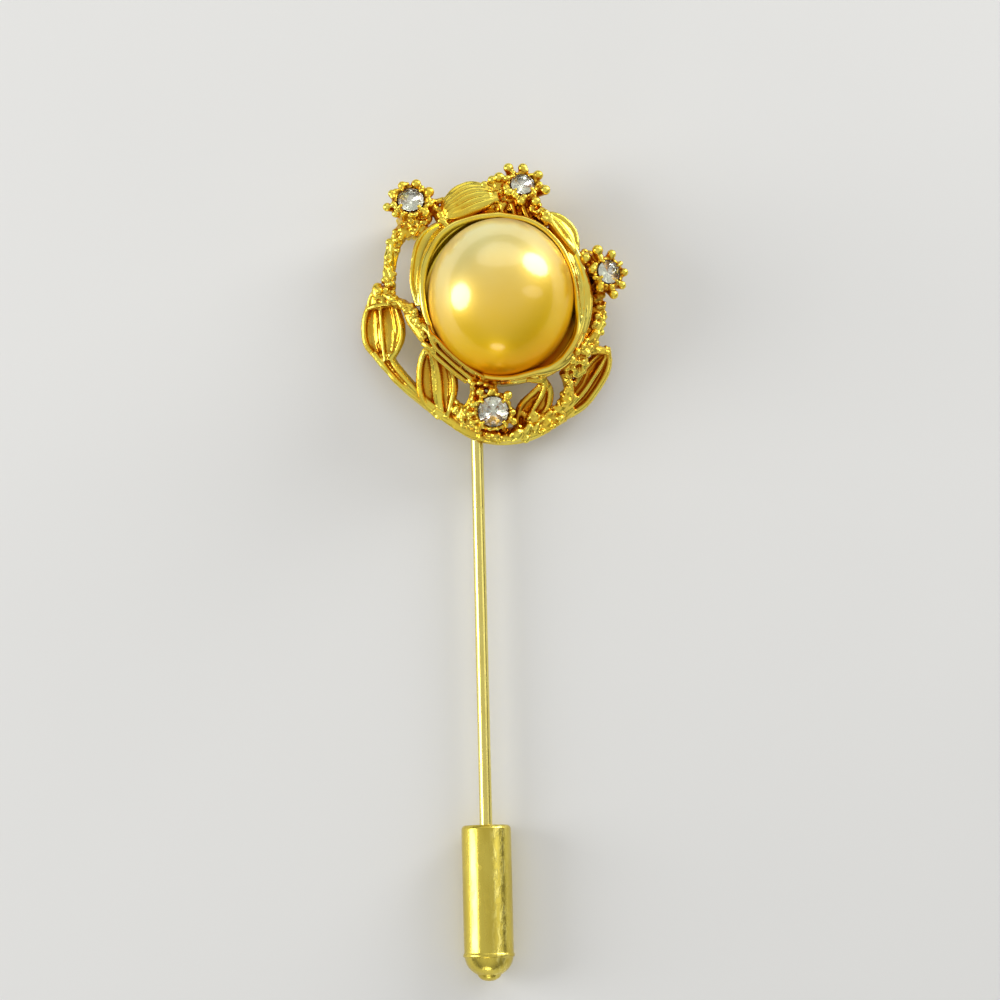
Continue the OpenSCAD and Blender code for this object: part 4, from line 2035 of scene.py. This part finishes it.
@dataclass
class PearlCup:
    """The cup under the pearl, a dish with a low wall.

    Attributes:
        radius: Radius of its floor.
        spread: How much wider it is above its rounded foot.
        oval: How much longer than wide it is.
        foot: Height of the foot.
        wall: Height of the wall over the foot.
        thick: Thickness of the wall.
        deep: Depth of the hollow.
        edge: Width of its rounded edges.
        spot: Place of its floor from the pearl's axis.
    """

    radius: float = 6.35
    spread: float = 1.03
    oval: float = 1.06
    foot: float = 0.5
    wall: float = 1.35
    thick: float = 0.24
    deep: float = 1.25
    edge: float = 0.12
    spot: Point = (0.0, -0.25, 2.3)

    def build(self, head: Matrix) -> Object:
        """Model the cup: a disc raised to a wall, hollowed and rounded off.

        Args:
            head: Matrix from the pearl's axis to the pin.

        Returns:
            The cup.
        """
        Bench.clear()
        bpy.ops.mesh.primitive_circle_add(vertices=96, radius=self.radius, fill_type="NGON")
        Bench.edit(all_over=True)
        Bench.raise_faces(self.foot)
        bpy.ops.transform.resize(value=(self.spread, self.spread, 1.0))
        Bench.raise_faces(self.wall)
        bpy.ops.mesh.inset(thickness=self.thick)
        Bench.raise_faces(-self.deep)
        cup = Bench.done()
        Bench.outward(cup)
        Bench.modify(cup, "BEVEL", width=self.edge, segments=3, limit_method="ANGLE")
        Bench.smooth(cup, angle=40)
        shape = Matrix.Diagonal((1.0, self.oval, 1.0, 1.0))
        return Bench.place(cup, head @ Matrix.Translation(self.spot) @ shape)


@dataclass
class Pearl:
    """The oval pearl, cut flat at its foot.

    Attributes:
        half_width: Half its width across the pin.
        half_length: Half its length along the pin.
        shift: Place of its middle along the pin, from the wreath's axis.
        waist: Height of its widest place.
        edge: Width of the rounded edge at its foot.
    """

    half_width: float = 5.80
    half_length: float = 6.32
    shift: float = -0.30
    waist: float = 4.84
    edge: float = 0.15

    def build(self, layout: Layout) -> Object:
        """Model the pearl: a ball stretched to an oval, its foot cut off and rounded.

        Args:
            layout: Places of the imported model.

        Returns:
            The pearl.
        """
        Bench.clear()
        bpy.ops.mesh.primitive_uv_sphere_add(segments=96, ring_count=64, radius=1.0)
        Bench.edit(all_over=True)
        half_height = layout.top_z - self.waist
        bpy.ops.transform.resize(value=(self.half_width, self.half_length, half_height))
        bpy.ops.mesh.bisect(
            plane_co=(0.0, 0.0, layout.foot_z - self.waist),
            plane_no=(0.0, 0.0, -1.0),
            use_fill=True,
            clear_outer=True,
        )
        bpy.ops.mesh.bevel(offset=self.edge, segments=2)
        pearl = Bench.done()
        Bench.outward(pearl)
        Bench.smooth(pearl, angle=50)
        spot = Matrix.Translation((layout.axis_x, layout.axis_y + self.shift, self.waist))
        return Bench.place(pearl, spot)


@dataclass
class Stem:
    """The stem wire with its needle point, and the solder that holds it to the head.

    Attributes:
        radius: Radius of the wire.
        ground: Radius where the point's taper begins.
        point: Radius of the point's end.
        inset: Depth of the point inside the clutch.
        taper: Length of the point's taper.
        swell: The point's fullest place: its share of the ground radius and of the taper.
        end: Distance of the wire's upper end past the pearl's axis.
        blunt: Width of the bevel at the wire's upper end.
        lumps: Lower end, upper end and radius of each lump of solder, from the pearl's axis.
        grain: Distance between the points of the solder's skin.
    """

    radius: float = 0.5
    ground: float = 0.46
    point: float = 0.10
    inset: float = 10.0
    taper: float = 3.0
    swell: Pair = (0.62, 0.55)
    end: float = 2.5
    blunt: float = 0.1
    lumps: Sequence[Point] = ((-5.2, 1.9, 0.74), (-11.45, -9.7, 0.7))
    grain: float = 0.09

    def wire(self, layout: Layout) -> Object:
        """Turn the wire from its point to its upper end.

        Args:
            layout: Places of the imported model.

        Returns:
            The wire.
        """
        top = layout.axis_y + self.end - layout.mouth_y
        outline = [(0.0, -self.inset)]
        outline += quarter((0.0, -self.inset + self.point), (self.point,) * 2, -90, 3)[1:]
        outline += [
            (self.ground * self.swell[0], -self.inset + self.taper * self.swell[1]),
            (self.ground, -self.inset + self.taper),
            (self.radius, 0.0),
            (self.radius, top - self.blunt),
            (self.radius - self.blunt, top),
            (0.0, top),
        ]
        wire = turned(outline, steps=48)
        Bench.smooth(wire, angle=35)
        return Bench.place(wire, layout.wire(layout.mouth_y))

    def solder(self, layout: Layout) -> Object:
        """Model the solder under the cup and under the lowest rim as run-out lumps.

        Args:
            layout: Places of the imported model.

        Returns:
            The solder.
        """
        skein = Skein()
        for low, high, radius in self.lumps:
            rows = (
                (low, 0.02, 0.46),
                (low + 0.5, 0.10, radius * 0.94),
                ((low + high) / 2, 0.12, radius),
                (high - 0.4, 0.12, radius * 0.95),
                (high, 0.10, 0.50),
            )
            points = [
                Vector((layout.wire_x, layout.axis_y + along, layout.wire_z + lift))
                for along, lift, _ in rows
            ]
            skein.add(points, [thick for _, _, thick in rows])
        solder = skein.build(fineness=4)
        Bench.fuse(solder, self.grain, rounds=6)
        return solder


@dataclass
class Clutch:
    """The bullet clutch: a rounded mouth, a straight body, a rolled lip and a tapering nose.

    Attributes:
        body: Radius of the body.
        shoulder: Radius of the rounded mouth edge.
        bore: Radius of the bore.
        depth: Depth of the bore.
        flare: Radius of the bore's rounded mouth.
        dish: Where the mouth's face is lowest: its distance from the bore, and its depth.
        lip: Distance of the lip's lower edge from the nose's end.
        roll: Points of the lip: how far it stands out and its height over the lower edge.
        curl: Half width and half height of the lip's rounded lower edge.
        nose: Radius and distance from the nose's end of each point of the nose.
    """

    body: float = 1.96
    shoulder: float = 0.36
    bore: float = 0.56
    depth: float = 10.1
    flare: float = 0.12
    dish: Pair = (0.3, 0.03)
    lip: float = 1.88
    roll: Sequence[Pair] = ((0.0, 0.36), (0.01, 0.31), (0.07, 0.23), (0.07, 0.09))
    curl: Pair = (0.06, 0.08)
    nose: Sequence[Pair] = ((1.92, 1.84), (1.88, 1.62), (1.77, 1.32), (1.61, 1.06), (1.41, 0.84),
        (1.18, 0.66), (1.00, 0.54), (0.95, 0.52), (0.91, 0.46), (0.86, 0.36), (0.72, 0.21), (0.52, 0.10),
        (0.28, 0.03), (0.0, 0.0))

    def build(self, layout: Layout) -> Object:
        """Turn the clutch from the bottom of its bore round the mouth to its nose.

        Args:
            layout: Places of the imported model.

        Returns:
            The clutch.
        """
        end = layout.nose_y - layout.mouth_y
        lip = end + self.lip
        flare = self.flare
        outline = [(0.0, -self.depth), (self.bore, -self.depth), (self.bore, -flare)]
        outline += quarter((self.bore + flare, -flare), (flare, flare), 180, -3)
        outline += [(self.bore + self.dish[0], -self.dish[1])]
        edge = self.shoulder
        outline += quarter((self.body - edge, -edge), (edge, edge), 90, -8)
        outline += [(self.body + out, lip + rise) for out, rise in self.roll]
        wide, tall = self.curl
        outline += quarter((self.body + self.roll[-1][0] - wide, lip + tall), self.curl, 0, -3)
        outline += [(radius, end + rise) for radius, rise in self.nose]
        clutch = turned(outline, steps=96)
        Bench.smooth(clutch, angle=38)
        return Bench.place(clutch, layout.wire(layout.mouth_y))


@dataclass(frozen=True)
class Lamp:
    """One soft oval lamp that faces the pearl.

    Attributes:
        name: Its name.
        turn: Its angle round the pearl in degrees, counted from the right-hand side.
        rise: Its angle above the table in degrees.
        size: Its width and height, in metres.
        power: Its power in watts.
        roll: How far it is turned about its own aim, in degrees.
        distance: Its distance from the pearl, in metres.
        aim: The place on the pearl that it faces, in metres.
    """

    name: str
    turn: float
    rise: float
    size: Pair
    power: float
    roll: float = 0.0
    distance: float = 0.35
    aim: Point = (0.0006, 0.0215, 0.006)

    def hang(self) -> None:
        """Hang the lamp."""
        rise = math.radians(self.rise)
        aim = Vector(self.aim)
        level = math.cos(rise) * self.distance
        spot = aim + polar(self.turn, level, math.sin(rise) * self.distance)
        Bench.clear()
        bpy.ops.object.light_add(type="AREA", location=spot)
        lamp = bpy.context.object
        lamp.name = self.name
        facing = (aim - spot).to_track_quat("-Z", "Y").to_matrix()
        rolled = facing @ Matrix.Rotation(math.radians(self.roll), 3, "Z")
        lamp.rotation_euler = rolled.to_euler()
        lamp.data.shape = "ELLIPSE"
        lamp.data.size, lamp.data.size_y = self.size
        lamp.data.energy = self.power


@dataclass
class Studio:
    """Table, camera and lights.

    Attributes:
        target: Point that the camera looks at, in metres.
        distance: Distance of the camera from it, in metres.
        lean: Lean of the camera towards the clutch, in degrees.
        roll: Roll of the camera, in degrees.
        lens: Focal length, in millimetres.
        sensor: Width of the camera's sensor, in millimetres.
        near: Distance from which the camera sees, in metres.
        table_size: Length of the table's sides, in metres.
        lamps: The two window lamps, the small low one, the narrow one and the dim wide one.
        light: Colour of the room's light.
        room: The room's light along X, Y and Z: how it changes, from where, and its two strengths.
    """

    target: Point = (0.000133, 0.00553, 0.002)
    distance: float = 0.25
    lean: float = 7.0
    roll: float = 1.4
    lens: float = 112.5
    sensor: float = 36.0
    near: float = 0.01
    table_size: float = 1.6
    lamps: Sequence[Lamp] = (
        Lamp("window_left", 180.0, 22.0, (0.185, 0.23), 0.66),
        Lamp("window_right", 37.0, 18.0, (0.255, 0.175), 0.72, roll=65.0),
        Lamp("lamp_low", 264.0, 7.5, (0.12, 0.07), 0.10),
        Lamp("strip_right", 2.0, 38.0, (0.09, 0.22), 0.045),
        Lamp("sky", 90.0, 35.0, (0.7, 0.4), 0.5, distance=0.55),
    )
    light: Colour = (1.0, 0.99, 0.96)
    room: Sequence[tuple[str, float, float, float]] = (
        ("LINEAR", -1.0, 1.2, 1.05),
        ("LINEAR", -1.0, 1.5, 0.8),
        ("SMOOTHSTEP", 0.0, 0.09, 0.48),
    )

    def camera(self) -> None:
        """Set the camera up at the photograph's angle."""
        lean, roll = math.radians(self.lean), math.radians(self.roll)
        level = Vector((1.0, 0.0, 0.0))
        upright = Vector((0.0, math.cos(lean), math.sin(lean)))
        back = Vector((0.0, -math.sin(lean), math.cos(lean)))
        right = level * math.cos(roll) - upright * math.sin(roll)
        up = level * math.sin(roll) + upright * math.cos(roll)
        Bench.clear()
        bpy.ops.object.camera_add()
        camera = bpy.context.object
        camera.name = "camera"
        axes = Matrix((right, up, back)).transposed().to_4x4()
        spot = Vector(self.target) + back * self.distance
        camera.matrix_world = Matrix.Translation(spot) @ axes
        camera.data.lens = self.lens
        camera.data.sensor_width = self.sensor
        camera.data.clip_start = self.near
        bpy.context.scene.camera = camera

    def surround(self) -> None:
        """Light the room: bright overhead, dimmer low down, brighter to the left and in front."""
        world = bpy.data.worlds.new("studio")
        graph = Graph(world)
        ways = graph.node("ShaderNodeTexCoord", {}, {}).outputs["Generated"]
        strength = 1.0
        for way, (kind, start, low, high) in zip(graph.axes(ways), self.room):
            ramp = graph.node(
                "ShaderNodeMapRange",
                {"interpolation_type": kind},
                {"Value": way, "From Min": start, "From Max": 1.0, "To Min": low, "To Max": high},
            )
            strength = Value(graph, ramp.outputs[0]) * strength
        inputs = {"Color": (*self.light, 1.0), "Strength": strength}
        background = graph.node("ShaderNodeBackground", {}, inputs)
        graph.node("ShaderNodeOutputWorld", {}, {"Surface": background.outputs[0]})
        bpy.context.scene.world = world

    def table(self, material: Material) -> None:
        """Lay the table under the pin.

        Args:
            material: The table's own.
        """
        Bench.clear()
        bpy.ops.mesh.primitive_plane_add(size=self.table_size)
        table = bpy.context.object
        table.name = "table"
        table.data.materials.append(material)

    def set_up(self, material: Material) -> None:
        """Set up the table, the camera, the lamps and the room's light.

        Args:
            material: The table's own.
        """
        self.table(material)
        self.camera()
        for lamp in self.lamps:
            lamp.hang()
        self.surround()
        bpy.context.scene.view_settings.view_transform = "Standard"


def main() -> None:
    """Build the pin, piece by piece, and set up the studio."""
    logging.basicConfig(level=logging.INFO, format="%(message)s")
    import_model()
    layout = Layout.read()
    head = layout.head()
    palette = Palette()
    shop = Shop()
    cast = palette.metals[Metal.CAST]
    smooth = palette.metals[Metal.SMOOTH]

    wreath = Wreath()
    for part in wreath.parts():
        shop.deliver(part.build(head), part.name, "pin", "head_frame", [cast])
    shop.deliver(Bezel().build(head), "bezel", "pin", "head_frame", [smooth])
    shop.deliver(PearlCup().build(head), "pearl_cup", "pin", "head_frame", [smooth])
    stem = Stem()
    wire = palette.metals[Metal.WIRE]
    shop.deliver(stem.wire(layout), "stem_wire", "pin", "head_frame", [wire])
    shop.deliver(stem.solder(layout), "stem_solder", "pin", "head_frame", [wire])
    shop.deliver(Pearl().build(layout), "pearl_drop", "pin", "pearl", [palette.pearl])
    for node, flower in wreath.flowers().items():
        stone = Stone(node, flower).build(head)
        shop.deliver(stone, f"{node}_stone", "pin", node, [palette.crystal, palette.foil])
    clutch = Clutch().build(layout)
    shop.deliver(clutch, "bullet_clutch", "clutch", "clutch", [palette.metals[Metal.CLUTCH]])

    Studio().set_up(palette.table)


if __name__ == "__main__":
    main()
